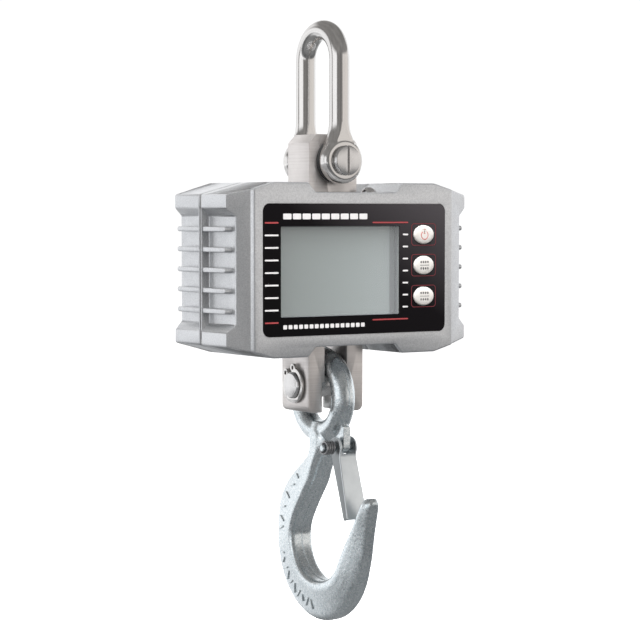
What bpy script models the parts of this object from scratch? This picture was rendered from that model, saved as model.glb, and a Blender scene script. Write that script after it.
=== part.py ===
"""Digital crane scale: a hanging weighing scale between a D shackle and a latched eye hook.

Lengths in this file are millimetres; MM turns them into the scene's metres.
The frame has +Z up, +X across the housing and -Y towards the display.  Its origin is the
hanging point: the middle of the shackle bow's inner surface.  Heights in the code are
measured from the housing's centre, and the empty "assembly" carries them to that origin.
"""
import math

import bmesh
import bpy
from mathutils import Matrix, Vector

MM = 0.001

# ---- clearances -------------------------------------------------------------------------
GAP = 0.3            # between pieces that seat on each other
RUN_GAP = 0.5        # between pieces that turn against each other

# ---- load cell: one steel block with an upper lug and a lower clevis ----------------------
CELL_W = 34.0        # along X
CELL_D = 23.0        # along Y
CELL_TOP = 79.0
CELL_CHAMFER = 5.0
CLEVIS_W = 39.0
CLEVIS_D = 28.8
CLEVIS_BOTTOM = -85.2
CLEVIS_SHOULDER = -37.0
CLEVIS_CORNER = 4.0
SLOT_FLARE = 2.5     # how much each side of the slot opens near its mouth
GAUGE_BORE_R = 8.0
GAUGE_BORE_X = 6.5
GAUGE_Z = 4.0
GAUGE_POCKET = (22.0, 16.0, 2.0)

# ---- shackle ----------------------------------------------------------------------------
STOCK = 12.0         # bar diameter of the bow
LEG_Y = CELL_D / 2 + RUN_GAP + STOCK / 2
BOW_Z = 123.0        # centre of the bow's half circle
SHACKLE_PIN_Z = 63.3
SHACKLE_PIN_R = 6.0
EYE_R = 13.5
EYE_T = STOCK + 0.2
EYE_CHAMFER = 2.6
PIN_TAIL = 1.5       # how far the shackle pin stands out of the rear eye
EYE_IN = LEG_Y - STOCK / 2
HEAD_R = 8.8
HEAD_T = 3.2
DRIVE_SLOT = 1.6
DRIVE_SLOT_DEPTH = 1.4
CROWN_Z = BOW_Z + LEG_Y - STOCK / 2

# ---- hook, its pin and its latch ----------------------------------------------------------
HOOK_PIN_Z = -69.4
HOOK_PIN_R = 7.75
HOOK_PIN_OUT = 3.6   # how far each end stands out of the clevis
CLIP_T = 1.4
CLIP_R = 10.6
CLIP_LUG_R = 2.5
CLIP_HOLE_R = 1.1
CLIP_OPENING = 16.0  # degrees, each side of the opening's middle
CLIP_LUG_TURN = 24.0
CLIP_MIDDLE = 66.0    # where the opening's middle lies, in degrees from +Y towards +Z
GROOVE_DEPTH = 0.8
GROOVE_ROOM = 0.2
RING_BAR_R = 7.0     # bar radius of the hook's eye
RING_IN = 15.0       # radius of the eye's hole
RING_Z = HOOK_PIN_Z + HOOK_PIN_R + GAP - RING_IN
RING_MID = RING_IN + RING_BAR_R
HOOK_SWING = 45.0    # degrees each way
SLOT_HALF = RING_BAR_R + 0.85
HOOK_DROP = RING_Z - HOOK_PIN_Z
SLOT_ROOF = (HOOK_PIN_Z + RING_MID + RING_BAR_R + HOOK_DROP * math.cos(math.radians(HOOK_SWING))
             + RUN_GAP)
BOWL_Z = -163.0      # centre of the bowl's inner arc
BOWL_R = 24.5
BOWL_OUT_R = 45.0
BOWL_OUT_Y = 1.0
BOWL_OUT_DROP = 3.5  # the outer arc's centre lies this much lower
HOOK_SET = -2.3      # the hook is set forward by this, so that it hangs with its weight under the pin
HOOK_SET_TOP = -92.0
HOOK_SET_RUN = 18.0
HOOK_W_IN = 17.3
HOOK_W_OUT = 9.0
LATCH_Y = -20.0 + HOOK_SET
LATCH_Z = -105.3
LATCH_PIN_R = 2.0
LUG_T = 5.0
LUG_R = 3.9
LUG_TOP = -93.0
LATCH_T = 1.4
LATCH_EAR_R = 6.0
LATCH_FLANGE = 4.6
LATCH_WEB_TOP = (5.0, 5.6)   # the web starts this far in front of the pin and below it
LATCH_W_TOP = 12.4
LATCH_W_END = 15.0
LATCH_TIP = (-35.2 + HOOK_SET, -146.5)   # lower end of the latch's outer face
SPRING_WIRE = 1.3
SPRING_R = 4.4
SPRING_TURNS = 4

# ---- housing ----------------------------------------------------------------------------
CASE_X = 84.5        # side face
CASE_Y = 28.7        # front edge of the side face
CASE_Z = 43.3        # half height at the side face
PLATE_Y = 35.7       # front plate
PLATE_X = 70.0
PLATE_Z = 46.5       # half height at the plate's outer edge
CROWN_X = 57.0       # where the flat top starts
CROWN_HALF = 50.3    # half height of the housing in the middle
WALL = 2.6
SIDE_WALL = 8.6      # solid shoulder beside the grip recess
SEAM = 0.8           # each half stops this far from the middle plane
GASKET_HALF = 0.5
GASKET_INSET = 0.6
EDGE_ROUND = 2.0
BEND_ROOM = 1.5      # how far the deep part of the cavity stays behind the plate's edge
NOTCH_X = 28.3       # channel for the lug at top and bottom
NOTCH_FLOOR = 44.6
NOTCH_SLOPE = 5.0
GRIP_DEPTH = 5.1
GRIP_Z = 31.0
GRIP_SLOPE = 4.4
GRIP_START = 1.6     # distance of the recess from the middle plane
RIB_COUNT = 5
RIB_PITCH = 11.7
RIB_T = 2.8
RIB_END = 27.0
RIB_SINK = 0.4       # the ribs stop this far below the side face

# ---- display overlay, window and keys -----------------------------------------------------
OVERLAY_X = 64.2
OVERLAY_Z = 38.0
OVERLAY_T = 0.6
OVERLAY_ROUND = 4.5
OVERLAY_RECESS = 0.5
WINDOW = (-52.6, 30.6, -27.0, 25.0)     # left, right, bottom, top
WINDOW_T = 0.5
LCD_LIP = 1.5
LCD_T = 2.8
BEZEL_LIP = 1.5
BEZEL_T = 3.2
LCD_SINK = 1.2       # how far the panel sits into the bezel
BUTTON_X = 48.3
BUTTON_Z = (19.8, 1.6, -16.8)
BUTTON_RX = 7.3
BUTTON_RZ = 5.5
BUTTON_PROUD = 1.1
BUTTON_EDGE = 0.8
BUTTON_FLANGE_LIP = 1.2
BUTTON_FLANGE = 1.2
BUTTON_HOLE_GAP = 0.3
SWITCH = (6.0, 3.4, 6.0)
BOARD_X = 61.4
BOARD_Z = 37.6
BOARD_T = 1.6
BOARD_SCREW = (57.5, 34.3)
SCREW_R = 1.5
SCREW_HEAD_R = 2.8
SCREW_HEAD_T = 1.8
SCREW_HOLE_GAP = 0.25
BOSS_R = 4.0

# ---- battery compartment, at the back -----------------------------------------------------
AA_R = 7.1
AA_L = 50.0
AA_GAP = 0.6
TRAY_WALL = 1.6
CONTACT_T = 0.5
CONTACT_ROOM = 2.6
DOOR_X = 62.0
DOOR_Z = 21.5
DOOR_ROUND = 3.0
DOOR_WELL = 5.0      # the well stops this much before the lip, clear of the door's screws
DOOR_T = 2.6
DOOR_LIP = 3.0
LEDGE_T = 2.2        # rim that the door and its seal seat on
DOOR_SEAL_T = 1.0
DOOR_SEAL_W = 2.0
DOOR_SCREW_SINK = 1.5
DOOR_SCREW_X = DOOR_X - 3.6
CASE_SCREW = (66.0, 32.0)
CASE_SCREW_R = 1.8
CASE_SCREW_HEAD_R = 3.4
CASE_SCREW_HEAD_T = 2.4
CASE_SCREW_SEAT = CASE_Y - 1.5

# ---- bar that carries the housing on the cell -----------------------------------------------
BAR_X = 42.0
BAR_Z = 5.0
BAR_T = 3.0
BAR_LEVEL = 33.2
BAR_BOLT_X = 9.0
BAR_BOLT_R = 2.0
BAR_BOLT_HEAD_R = 3.6
BAR_BOLT_HEAD_T = 2.6
BAR_SCREW_X = BAR_X - 5.0

SEAL_T = 2.2
CABLE_R = 1.6


# ---- helpers ----------------------------------------------------------------------------
def clear_scene():
    for old in list(bpy.data.objects):
        bpy.data.objects.remove(old, do_unlink=True)


def finish_of(name, colour, roughness, metallic=0.0, alpha=1.0):
    mat = bpy.data.materials.new(name)
    mat.use_nodes = True
    shader = mat.node_tree.nodes["Principled BSDF"]
    shader.inputs["Base Color"].default_value = (*colour, 1.0)
    shader.inputs["Roughness"].default_value = roughness
    shader.inputs["Metallic"].default_value = metallic
    shader.inputs["Alpha"].default_value = alpha
    return mat


def empty(name, place, parent=None):
    """An empty on a joint's axis, or the assembly's own frame."""
    node = bpy.data.objects.new(name, None)
    node.location = Vector(place) * MM
    node.parent = parent
    bpy.context.collection.objects.link(node)
    node["at"] = list(place)
    return node


def solid(name, bm, frame, mat=None, smooth=None):
    """Turn a bmesh, drawn in the assembly's millimetres, into an object in a frame."""
    bmesh.ops.recalc_face_normals(bm, faces=bm.faces)
    at = Vector(frame["at"]) if frame is not ASSEMBLY else Vector((0, 0, 0))
    bmesh.ops.translate(bm, verts=bm.verts, vec=-at)
    bmesh.ops.scale(bm, verts=bm.verts, vec=(MM, MM, MM))
    mesh = bpy.data.meshes.new(name)
    bm.to_mesh(mesh)
    bm.free()
    node = bpy.data.objects.new(name, mesh)
    node.parent = frame
    bpy.context.collection.objects.link(node)
    if mat:
        mesh.materials.append(mat)
    if smooth:
        mesh.shade_smooth()
        mesh.set_sharp_from_angle(angle=math.radians(smooth))
    return node


def combine(node, bm, frame, operation="DIFFERENCE"):
    """Cut a shape out of a piece, or join it on, with a Boolean modifier."""
    tool = solid(node.name + "_tool", bm, frame)
    tool.hide_render = True
    tool.display_type = "WIRE"
    step = node.modifiers.new(operation.title(), "BOOLEAN")
    step.operation = operation
    step.solver = "EXACT"
    step.object = tool


def cut(node, bm, frame=None):
    combine(node, bm, frame or node.parent)


def join(node, bm, frame=None):
    combine(node, bm, frame or node.parent, "UNION")


def prism(outline, axis, low, high):
    """Extrude a closed outline along X, Y or Z.  Outline points are the other two axes."""
    bm = bmesh.new()
    where = {"X": lambda a, b, t: (t, a, b), "Y": lambda a, b, t: (a, t, b),
             "Z": lambda a, b, t: (a, b, t)}[axis]
    base = [bm.verts.new(where(a, b, low)) for a, b in outline]
    face = bm.faces.new(base)
    made = bmesh.ops.extrude_face_region(bm, geom=[face])
    moved = [item for item in made["geom"] if isinstance(item, bmesh.types.BMVert)]
    step = Vector(where(0.0, 0.0, high)) - Vector(where(0.0, 0.0, low))
    bmesh.ops.translate(bm, verts=moved, vec=step)
    return bm


def block(x, y, z):
    """A box from three (low, high) pairs."""
    return prism([(x[0], y[0]), (x[1], y[0]), (x[1], y[1]), (x[0], y[1])], "Z", z[0], z[1])


def arc(centre, radius, start, end, steps):
    """Points on an arc, in degrees, both ends included."""
    turn = [math.radians(start + (end - start) * i / steps) for i in range(steps + 1)]
    return [(centre[0] + radius * math.cos(t), centre[1] + radius * math.sin(t)) for t in turn]


def circle(centre, radius, steps=20):
    return arc(centre, radius, 0, 360, steps)[:-1]


def ellipse(centre, rx, rz, steps=20):
    turn = [2 * math.pi * i / steps for i in range(steps)]
    return [(centre[0] + rx * math.cos(t), centre[1] + rz * math.sin(t)) for t in turn]


def rounded(left, right, bottom, top, radius, steps=5):
    """A rectangle's outline with round corners."""
    r = radius
    return (arc((right - r, top - r), r, 0, 90, steps) + arc((left + r, top - r), r, 90, 180, steps)
            + arc((left + r, bottom + r), r, 180, 270, steps)
            + arc((right - r, bottom + r), r, 270, 360, steps))


def rod(axis, centre, radius, low, high, steps=20):
    return prism(circle(centre, radius, steps), axis, low, high)


def chamfered_rod(axis, centre, radius, low, high, chamfer, steps=20):
    """A round bar with a small chamfer on both ends."""
    bm = rod(axis, centre, radius, low, high, steps)
    rims = [e for e in bm.edges if len(e.link_faces) == 2
            and any(len(f.verts) == steps for f in e.link_faces)]
    bmesh.ops.bevel(bm, geom=rims, offset=chamfer, segments=1, profile=0.5, affect="EDGES",
                    material=-1)
    return bm


def sweep(path, radius, sides=14, closed=False):
    """A round bar along points that lie in one plane parallel to YZ."""
    bm = bmesh.new()
    count = len(path)
    rings = []
    for i, point in enumerate(path):
        back = path[i - 1] if (i or closed) else path[i]
        ahead = path[(i + 1) % count] if (i + 1 < count or closed) else path[i]
        along = (Vector(ahead) - Vector(back)).normalized()
        across = Vector((1, 0, 0))
        third = along.cross(across)
        ring = []
        for k in range(sides):
            t = 2 * math.pi * k / sides
            ring.append(bm.verts.new(Vector(point) + radius * (math.cos(t) * across
                                                             + math.sin(t) * third)))
        rings.append(ring)
    pairs = list(zip(rings, rings[1:])) + ([(rings[-1], rings[0])] if closed else [])
    for one, two in pairs:
        for k in range(sides):
            bm.faces.new((one[k], one[(k + 1) % sides], two[(k + 1) % sides], two[k]))
    if not closed:
        bm.faces.new(rings[0])
        bm.faces.new(rings[-1])
    return bm


def skin(sections):
    """A closed body through a row of equal rings of points."""
    bm = bmesh.new()
    rings = [[bm.verts.new(p) for p in ring] for ring in sections]
    count = len(rings[0])
    for one, two in zip(rings, rings[1:]):
        for k in range(count):
            bm.faces.new((one[k], one[(k + 1) % count], two[(k + 1) % count], two[k]))
    bm.faces.new(rings[0])
    bm.faces.new(rings[-1])
    return bm


# ---- materials --------------------------------------------------------------------------
def make_finishes():
    return {
        "cast": finish_of("silver_casting", (0.52, 0.52, 0.51), 0.45, 0.6),
        "steel": finish_of("satin_steel", (0.60, 0.57, 0.55), 0.32, 1.0),
        "polish": finish_of("polished_steel", (0.66, 0.65, 0.63), 0.12, 1.0),
        "zinc": finish_of("zinc_forging", (0.66, 0.70, 0.72), 0.42, 0.9),
        "rubber": finish_of("black_rubber", (0.02, 0.02, 0.02), 0.8),
        "overlay": finish_of("black_overlay", (0.02, 0.017, 0.02), 0.4),
        "keycap": finish_of("cream_key", (0.77, 0.75, 0.70), 0.45),
        "lens": finish_of("clear_lens", (0.9, 0.95, 0.93), 0.05, 0.0, 0.25),
        "lcd": finish_of("display_glass", (0.29, 0.34, 0.33), 0.3),
        "board": finish_of("circuit_board", (0.02, 0.18, 0.07), 0.5),
        "plastic": finish_of("grey_plastic", (0.09, 0.09, 0.09), 0.55),
        "cell": finish_of("battery_jacket", (0.05, 0.07, 0.14), 0.35),
        "spring": finish_of("spring_steel", (0.22, 0.22, 0.23), 0.35, 1.0),
        "brass": finish_of("nickel_contact", (0.55, 0.53, 0.48), 0.3, 1.0),
    }


# ---- shackle ----------------------------------------------------------------------------
def make_shackle():
    f = FINISH
    legs = [(0, -LEG_Y, SHACKLE_PIN_Z), (0, -LEG_Y, (SHACKLE_PIN_Z + BOW_Z) / 2)]
    bow = [(0, y, z) for y, z in arc((0, BOW_Z), LEG_Y, 180, 0, 18)]
    path = legs + bow + [(0, -p[1], p[2]) for p in reversed(legs)]
    node = solid("shackle_bow", sweep(path, STOCK / 2, 18), SHACKLE, f["polish"], 40)
    for side in (-1, 1):
        low, high = sorted((side * EYE_IN, side * (EYE_IN + EYE_T)))
        join(node, chamfered_rod("Y", (0, SHACKLE_PIN_Z), EYE_R, low, high, EYE_CHAMFER, 24))
    reach = EYE_IN + EYE_T + 1.0
    cut(node, rod("Y", (0, SHACKLE_PIN_Z), SHACKLE_PIN_R + GAP, -reach, reach))

    face = -(EYE_IN + EYE_T + GAP)
    tail = EYE_IN + EYE_T + PIN_TAIL
    pin = solid("shackle_pin", chamfered_rod("Y", (0, SHACKLE_PIN_Z), SHACKLE_PIN_R, face - 1.0,
                                             tail, 0.8), SHACKLE, f["polish"], 40)
    join(pin, chamfered_rod("Y", (0, SHACKLE_PIN_Z), HEAD_R, face - HEAD_T, face, 0.6, 24))
    half = DRIVE_SLOT / 2
    cut(pin, block((-half, half), (face - HEAD_T - 1.0, face - HEAD_T + DRIVE_SLOT_DEPTH),
                   (SHACKLE_PIN_Z - HEAD_R - 1, SHACKLE_PIN_Z + HEAD_R + 1)))


# ---- load cell ----------------------------------------------------------------------------
def slot_outline():
    """The clevis slot across X: flared at the mouth, narrow above."""
    narrow, wide = SLOT_HALF, SLOT_HALF + SLOT_FLARE
    high, low = HOOK_PIN_Z + 5.0, HOOK_PIN_Z - 3.5
    below = CLEVIS_BOTTOM - 2.0
    left = [(-wide, below), (-wide, low), (-narrow, high), (-narrow, SLOT_ROOF)]
    return left + [(-x, z) for x, z in reversed(left)]


def make_cell():
    f = FINISH
    w, top, c = CELL_W / 2, CELL_TOP, CELL_CHAMFER
    outline = [(-w, CLEVIS_SHOULDER - 1), (w, CLEVIS_SHOULDER - 1), (w, top - c), (w - c, top),
               (-w + c, top), (-w, top - c)]
    node = solid("load_cell", prism(outline, "Y", -CELL_D / 2, CELL_D / 2), BODY, f["steel"], 30)
    lower = rounded(-CLEVIS_W / 2, CLEVIS_W / 2, CLEVIS_BOTTOM, CLEVIS_SHOULDER, CLEVIS_CORNER)
    join(node, prism(lower, "Y", -CLEVIS_D / 2, CLEVIS_D / 2))
    cut(node, prism(slot_outline(), "Y", -CLEVIS_D, CLEVIS_D))
    cut(node, rod("Y", (0, SHACKLE_PIN_Z), SHACKLE_PIN_R + RUN_GAP, -CELL_D, CELL_D))
    cut(node, rod("X", (0, HOOK_PIN_Z), HOOK_PIN_R + RUN_GAP / 2, -CLEVIS_W, CLEVIS_W, 32))
    for side in (-1, 1):
        cut(node, rod("Y", (side * GAUGE_BORE_X, GAUGE_Z), GAUGE_BORE_R, -CELL_D, CELL_D))
    gw, gh, gd = GAUGE_POCKET
    for side in (-1, 1):
        low, high = sorted((side * (CELL_W / 2 - gd), side * CELL_W))
        cut(node, block((low, high), (-gh / 2, gh / 2), (GAUGE_Z - gw / 2, GAUGE_Z + gw / 2)))
        cut(node, rod("Y", (side * BAR_BOLT_X, BAR_LEVEL), BAR_BOLT_R + SCREW_HOLE_GAP,
                      CELL_D / 2 - 7.0, CELL_D, 16))
    for side, name in ((-1, "gauge_cover_left"), (1, "gauge_cover_right")):
        low, high = sorted((side * (CELL_W / 2 - gd + GAP), side * (CELL_W / 2 - 0.2)))
        bm = block((low, high), (-gh / 2 + GAP, gh / 2 - GAP),
                   (GAUGE_Z - gw / 2 + GAP, GAUGE_Z + gw / 2 - GAP))
        solid(name, bm, BODY, f["plastic"])


def make_mount_bar():
    """A bar bolted across the cell; the housing's bosses are screwed to its ends."""
    f = FINISH
    low = CELL_D / 2 + GAP
    outline = rounded(-BAR_X, BAR_X, BAR_LEVEL - BAR_Z, BAR_LEVEL + BAR_Z, 2.0, 3)
    bar = solid("mount_bar", prism(outline, "Y", low, low + BAR_T), BODY, f["steel"])
    for i, side in enumerate((-1, 1)):
        x = side * BAR_BOLT_X
        hole = BAR_BOLT_R + SCREW_HOLE_GAP
        cut(bar, rod("Y", (x, BAR_LEVEL), hole, low - 1, low + BAR_T + 1, 16))
        seat = low + BAR_T + GAP
        bolt = solid(f"bar_bolt_{i + 1}", rod("Y", (x, BAR_LEVEL), BAR_BOLT_R, CELL_D / 2 - 6.0,
                                             seat + 1.0, 16), BODY, f["spring"], 40)
        join(bolt, rod("Y", (x, BAR_LEVEL), BAR_BOLT_HEAD_R, seat, seat + BAR_BOLT_HEAD_T, 16))
        end = side * BAR_SCREW_X
        cut(bar, rod("Y", (end, BAR_LEVEL), SCREW_R + SCREW_HOLE_GAP, low - 1, low + BAR_T + 1, 16))
        screw = solid(f"bar_screw_{i + 1}", rod("Y", (end, BAR_LEVEL), SCREW_R, low - 9.0,
                                               seat + 0.5, 16), BODY, f["spring"], 40)
        join(screw, rod("Y", (end, BAR_LEVEL), SCREW_HEAD_R, seat, seat + SCREW_HEAD_T, 16))


# ---- housing ----------------------------------------------------------------------------
def half_form(side):
    """The outer form of one half shell: a flat plate, angled cheeks and sloped shoulders."""
    seam = side * SEAM
    profile = [(CASE_X, -CASE_Z), (CASE_X, CASE_Z), (CROWN_X, CROWN_HALF), (-CROWN_X, CROWN_HALF),
               (-CASE_X, CASE_Z), (-CASE_X, -CASE_Z), (-CROWN_X, -CROWN_HALF),
               (CROWN_X, -CROWN_HALF)]
    bm = bmesh.new()
    back = [bm.verts.new((x, seam, z)) for x, z in profile]
    edge = {}
    for i in (0, 1, 4, 5):
        x, z = profile[i]
        edge[i] = bm.verts.new((x, side * CASE_Y, z))
    plate = {}
    for i, (x, z) in enumerate(profile):
        if i in edge:
            x, z = math.copysign(PLATE_X, x), math.copysign(PLATE_Z, z)
        plate[i] = bm.verts.new((x, side * PLATE_Y, z))
    bm.faces.new(back)
    bm.faces.new([plate[i] for i in range(8)])
    for a, b in ((0, 1), (4, 5)):
        bm.faces.new((back[a], back[b], edge[b], edge[a]))
        bm.faces.new((edge[a], edge[b], plate[b], plate[a]))
    for a, b in ((2, 3), (6, 7)):
        bm.faces.new((back[a], back[b], plate[b], plate[a]))
    for corner, crown in ((1, 2), (4, 3), (5, 6), (0, 7)):
        bm.faces.new((back[corner], back[crown], plate[crown], plate[corner]))
        bm.faces.new((back[corner], plate[corner], edge[corner]))
    rims = []
    for e in bm.edges:
        ends = {v for v in e.verts}
        if ends <= set(plate.values()) or ends <= set(edge.values()):
            rims.append(e)
    bmesh.ops.recalc_face_normals(bm, faces=bm.faces)
    bmesh.ops.bevel(bm, geom=rims, offset=EDGE_ROUND, segments=2, profile=0.5, affect="EDGES",
                    material=-1)
    return bm


def notch_outline(sign):
    """The channel at the top or bottom, seen from the front."""
    far = CROWN_HALF + 5.0
    slope = NOTCH_SLOPE * (far - NOTCH_FLOOR) / (CROWN_HALF - NOTCH_FLOOR)
    right = [(NOTCH_X, sign * NOTCH_FLOOR), (NOTCH_X + slope, sign * far)]
    return [(-x, z) for x, z in right] + list(reversed(right))


def cavity(side):
    """The room inside one half shell, as two stepped blocks."""
    inner_x = CASE_X - SIDE_WALL
    mouth = NOTCH_FLOOR - WALL
    high = CROWN_HALF - WALL
    ledge = NOTCH_X + NOTCH_SLOPE + WALL
    corner = [(ledge - NOTCH_SLOPE, mouth), (ledge, high), (CROWN_X - 1, high),
              (inner_x, CASE_Z - WALL)]
    outline = corner + [(x, -z) for x, z in reversed(corner)]
    outline = outline + [(-x, -z) for x, z in corner] + [(-x, z) for x, z in reversed(corner)]
    shallow = side * (CASE_Y - WALL)
    deep = side * (PLATE_Y - WALL)
    narrow = PLATE_X - WALL - BEND_ROOM
    scaled = [(math.copysign(min(abs(x), narrow), x), z) for x, z in outline]
    return outline, scaled, shallow, deep


def grip_outline(side):
    """The grip recess across Z, with sloped ends, on one side."""
    floor = CASE_X - GRIP_DEPTH
    out = CASE_X + 3.0
    rise = GRIP_SLOPE * (out - floor) / GRIP_DEPTH
    return [(side * floor, -GRIP_Z), (side * floor, GRIP_Z), (side * out, GRIP_Z + rise),
            (side * out, -GRIP_Z - rise)]


def case_screw_places():
    x, z = CASE_SCREW
    return [(-x, z), (x, z), (-x, -z), (x, -z)]


def make_half(name, side):
    """side -1 is the front half, +1 the rear half."""
    node = solid(name, half_form(side), BODY, FINISH["cast"], 30)
    wide, narrow, shallow, deep = cavity(side)
    # The cavity is open at the seam, so its outline runs a little past the seam plane.
    beyond = -side * 1.0
    cut(node, prism(wide, "Y", *sorted((beyond, shallow))))
    cut(node, prism(narrow, "Y", *sorted((beyond, deep))))
    for sign in (-1, 1):
        cut(node, prism(notch_outline(sign), "Y", -2 * PLATE_Y, 2 * PLATE_Y))
    # opening for the cell's lug at the top and for its clevis at the bottom
    room = SEAL_T + GAP
    reach_top = (CELL_W / 2 + room, CELL_D / 2 + room)
    reach_low = (CLEVIS_W / 2 + room, CLEVIS_D / 2 + room)
    for (rx, ry), sign in ((reach_top, 1), (reach_low, -1)):
        low, high = sorted((sign * (NOTCH_FLOOR - WALL - 2), sign * (NOTCH_FLOOR + 2)))
        cut(node, block((-rx, rx), (-ry, ry), (low, high)))
    for end in (-1, 1):
        near, far = side * GRIP_START, side * (PLATE_Y + 5)
        cut(node, prism(grip_outline(end), "Y", *sorted((near, far))))
    ribs = bmesh.new()
    for end in (-1, 1):
        for k in range(RIB_COUNT):
            z = (k - (RIB_COUNT - 1) / 2) * RIB_PITCH
            x = sorted((end * (CASE_X - GRIP_DEPTH - 1.0), end * (CASE_X - RIB_SINK)))
            y = sorted((side * (GRIP_START - 0.5), side * RIB_END))
            made = bmesh.ops.create_cube(ribs, size=1.0)["verts"]
            bmesh.ops.scale(ribs, verts=made, vec=(x[1] - x[0], y[1] - y[0], RIB_T))
            middle = ((x[0] + x[1]) / 2, (y[0] + y[1]) / 2, z)
            bmesh.ops.translate(ribs, verts=made, vec=middle)
    join(node, ribs)
    for x, z in case_screw_places():
        low, high = sorted((side * (SEAM + 1.0), side * (CASE_Y - 1.0)))
        join(node, rod("Y", (x, z), BOSS_R, low, high, 16))
    return node


def make_front_shell():
    node = make_half("front_shell", -1)
    face = -PLATE_Y
    edge = OVERLAY_X + GAP
    rim = OVERLAY_Z + GAP
    cut(node, prism(rounded(-edge, edge, -rim, rim, OVERLAY_ROUND + GAP), "Y", face - 2,
                    face + OVERLAY_RECESS))
    left, right, bottom, top = WINDOW
    cut(node, block((left, right), (face - 2, face + WALL + 2), (bottom, top)))
    for z in BUTTON_Z:
        hole = ellipse((BUTTON_X, z), BUTTON_RX + BUTTON_HOLE_GAP, BUTTON_RZ + BUTTON_HOLE_GAP)
        cut(node, prism(hole, "Y", face - 2, face + WALL + 2))
    # bosses for the circuit board and for the mounting bar
    for x, z in board_screw_places():
        join(node, rod("Y", (x, z), BOSS_R - 0.8, face + 1.0, board_front() - GAP, 16))
        cut(node, rod("Y", (x, z), SCREW_R + SCREW_HOLE_GAP, face + WALL, board_front() + 1, 12))
    for side in (-1, 1):
        end = side * BAR_SCREW_X
        join(node, rod("Y", (end, BAR_LEVEL), BOSS_R, face + 1.0, CELL_D / 2, 16))
        cut(node, rod("Y", (end, BAR_LEVEL), SCREW_R + SCREW_HOLE_GAP, CELL_D / 2 - 10.0,
                      CELL_D, 12))
    for x, z in case_screw_places():
        cut(node, rod("Y", (x, z), CASE_SCREW_R + SCREW_HOLE_GAP, -14.0, 2.0, 12))


def make_rear_shell():
    node = make_half("rear_shell", 1)
    back = PLATE_Y
    gap = GAP
    ledge_x, ledge_z = DOOR_X + LEDGE_T, DOOR_Z + LEDGE_T
    join(node, block((-ledge_x, ledge_x), (back - DOOR_T - LEDGE_T, back - 1.0),
                     (-ledge_z, ledge_z)))
    cut(node, prism(rounded(-DOOR_X - gap, DOOR_X + gap, -DOOR_Z - gap, DOOR_Z + gap,
                            DOOR_ROUND + gap), "Y", back - DOOR_T, back + 2))
    well_x, well_z = DOOR_X - DOOR_LIP - DOOR_WELL, DOOR_Z - DOOR_LIP
    cut(node, block((-well_x, well_x), (back - DOOR_T - LEDGE_T - 1, back + 2), (-well_z, well_z)))
    for end in (-1, 1):
        x = end * DOOR_SCREW_X
        join(node, rod("Y", (x, 0), BOSS_R - 1.0, back - DOOR_T - 9.0, back - DOOR_T - 0.5, 16))
        cut(node, rod("Y", (x, 0), SCREW_R + SCREW_HOLE_GAP, back - DOOR_T - 8.0, back + 2, 12))
    for x, z in case_screw_places():
        cut(node, rod("Y", (x, z), CASE_SCREW_R + SCREW_HOLE_GAP, -2.0, back + 5, 12))
        cut(node, rod("Y", (x, z), CASE_SCREW_HEAD_R + SCREW_HOLE_GAP, CASE_SCREW_SEAT,
                      back + 5, 20))


def make_case_screws():
    seat = CASE_SCREW_SEAT + GAP
    for i, (x, z) in enumerate(case_screw_places()):
        node = solid(f"case_screw_{i + 1}", rod("Y", (x, z), CASE_SCREW_R, -12.0, seat + 1.0, 16),
                     BODY, FINISH["spring"], 40)
        join(node, rod("Y", (x, z), CASE_SCREW_HEAD_R, seat, seat + CASE_SCREW_HEAD_T, 20))


def make_gasket():
    """Two thin rubber strips that show as the dark seam between the half shells."""
    inset = GASKET_INSET
    wide = cavity(1)[0]
    outline = [(NOTCH_X + inset, NOTCH_FLOOR - inset),
               (NOTCH_X + NOTCH_SLOPE + inset, CROWN_HALF - inset),
               (CROWN_X, CROWN_HALF - inset), (CASE_X - inset, CASE_Z - inset)]
    half = [(CELL_W / 2 + SEAL_T + 2 * GAP, NOTCH_FLOOR - inset)] + outline
    lower = [(x, -z) for x, z in reversed(outline)]
    lower.append((CLEVIS_W / 2 + SEAL_T + 2 * GAP, -NOTCH_FLOOR + inset))
    for sign, name in ((-1, "shell_gasket_left"), (1, "shell_gasket_right")):
        profile = [(sign * x, z) for x, z in half + lower]
        node = solid(name, prism(profile, "Y", -GASKET_HALF, GASKET_HALF), BODY,
                     FINISH["rubber"])
        cut(node, prism(wide, "Y", -3.0, 3.0))


def make_seal(name, sign, width, depth):
    """A rubber collar round the cell where it leaves the housing."""
    rx, ry = width / 2 + SEAL_T, depth / 2 + SEAL_T
    low, high = sorted((sign * (NOTCH_FLOOR - WALL + 0.1), sign * (NOTCH_FLOOR + 0.4)))
    node = solid(name, prism(rounded(-rx, rx, -ry, ry, 2.0, 3), "Z", low, high), BODY,
                 FINISH["rubber"])
    ix, iy = width / 2 + GAP, depth / 2 + GAP
    cut(node, block((-ix, ix), (-iy, iy), (low - 1, high + 1)))


# ---- display and keys -----------------------------------------------------------------------
def board_front():
    return -PLATE_Y + WALL + BEZEL_T + GAP + LCD_T + GAP


def board_screw_places():
    x, z = BOARD_SCREW
    return [(-x, z), (x, z), (-x, -z), (x, -z)]


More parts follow.
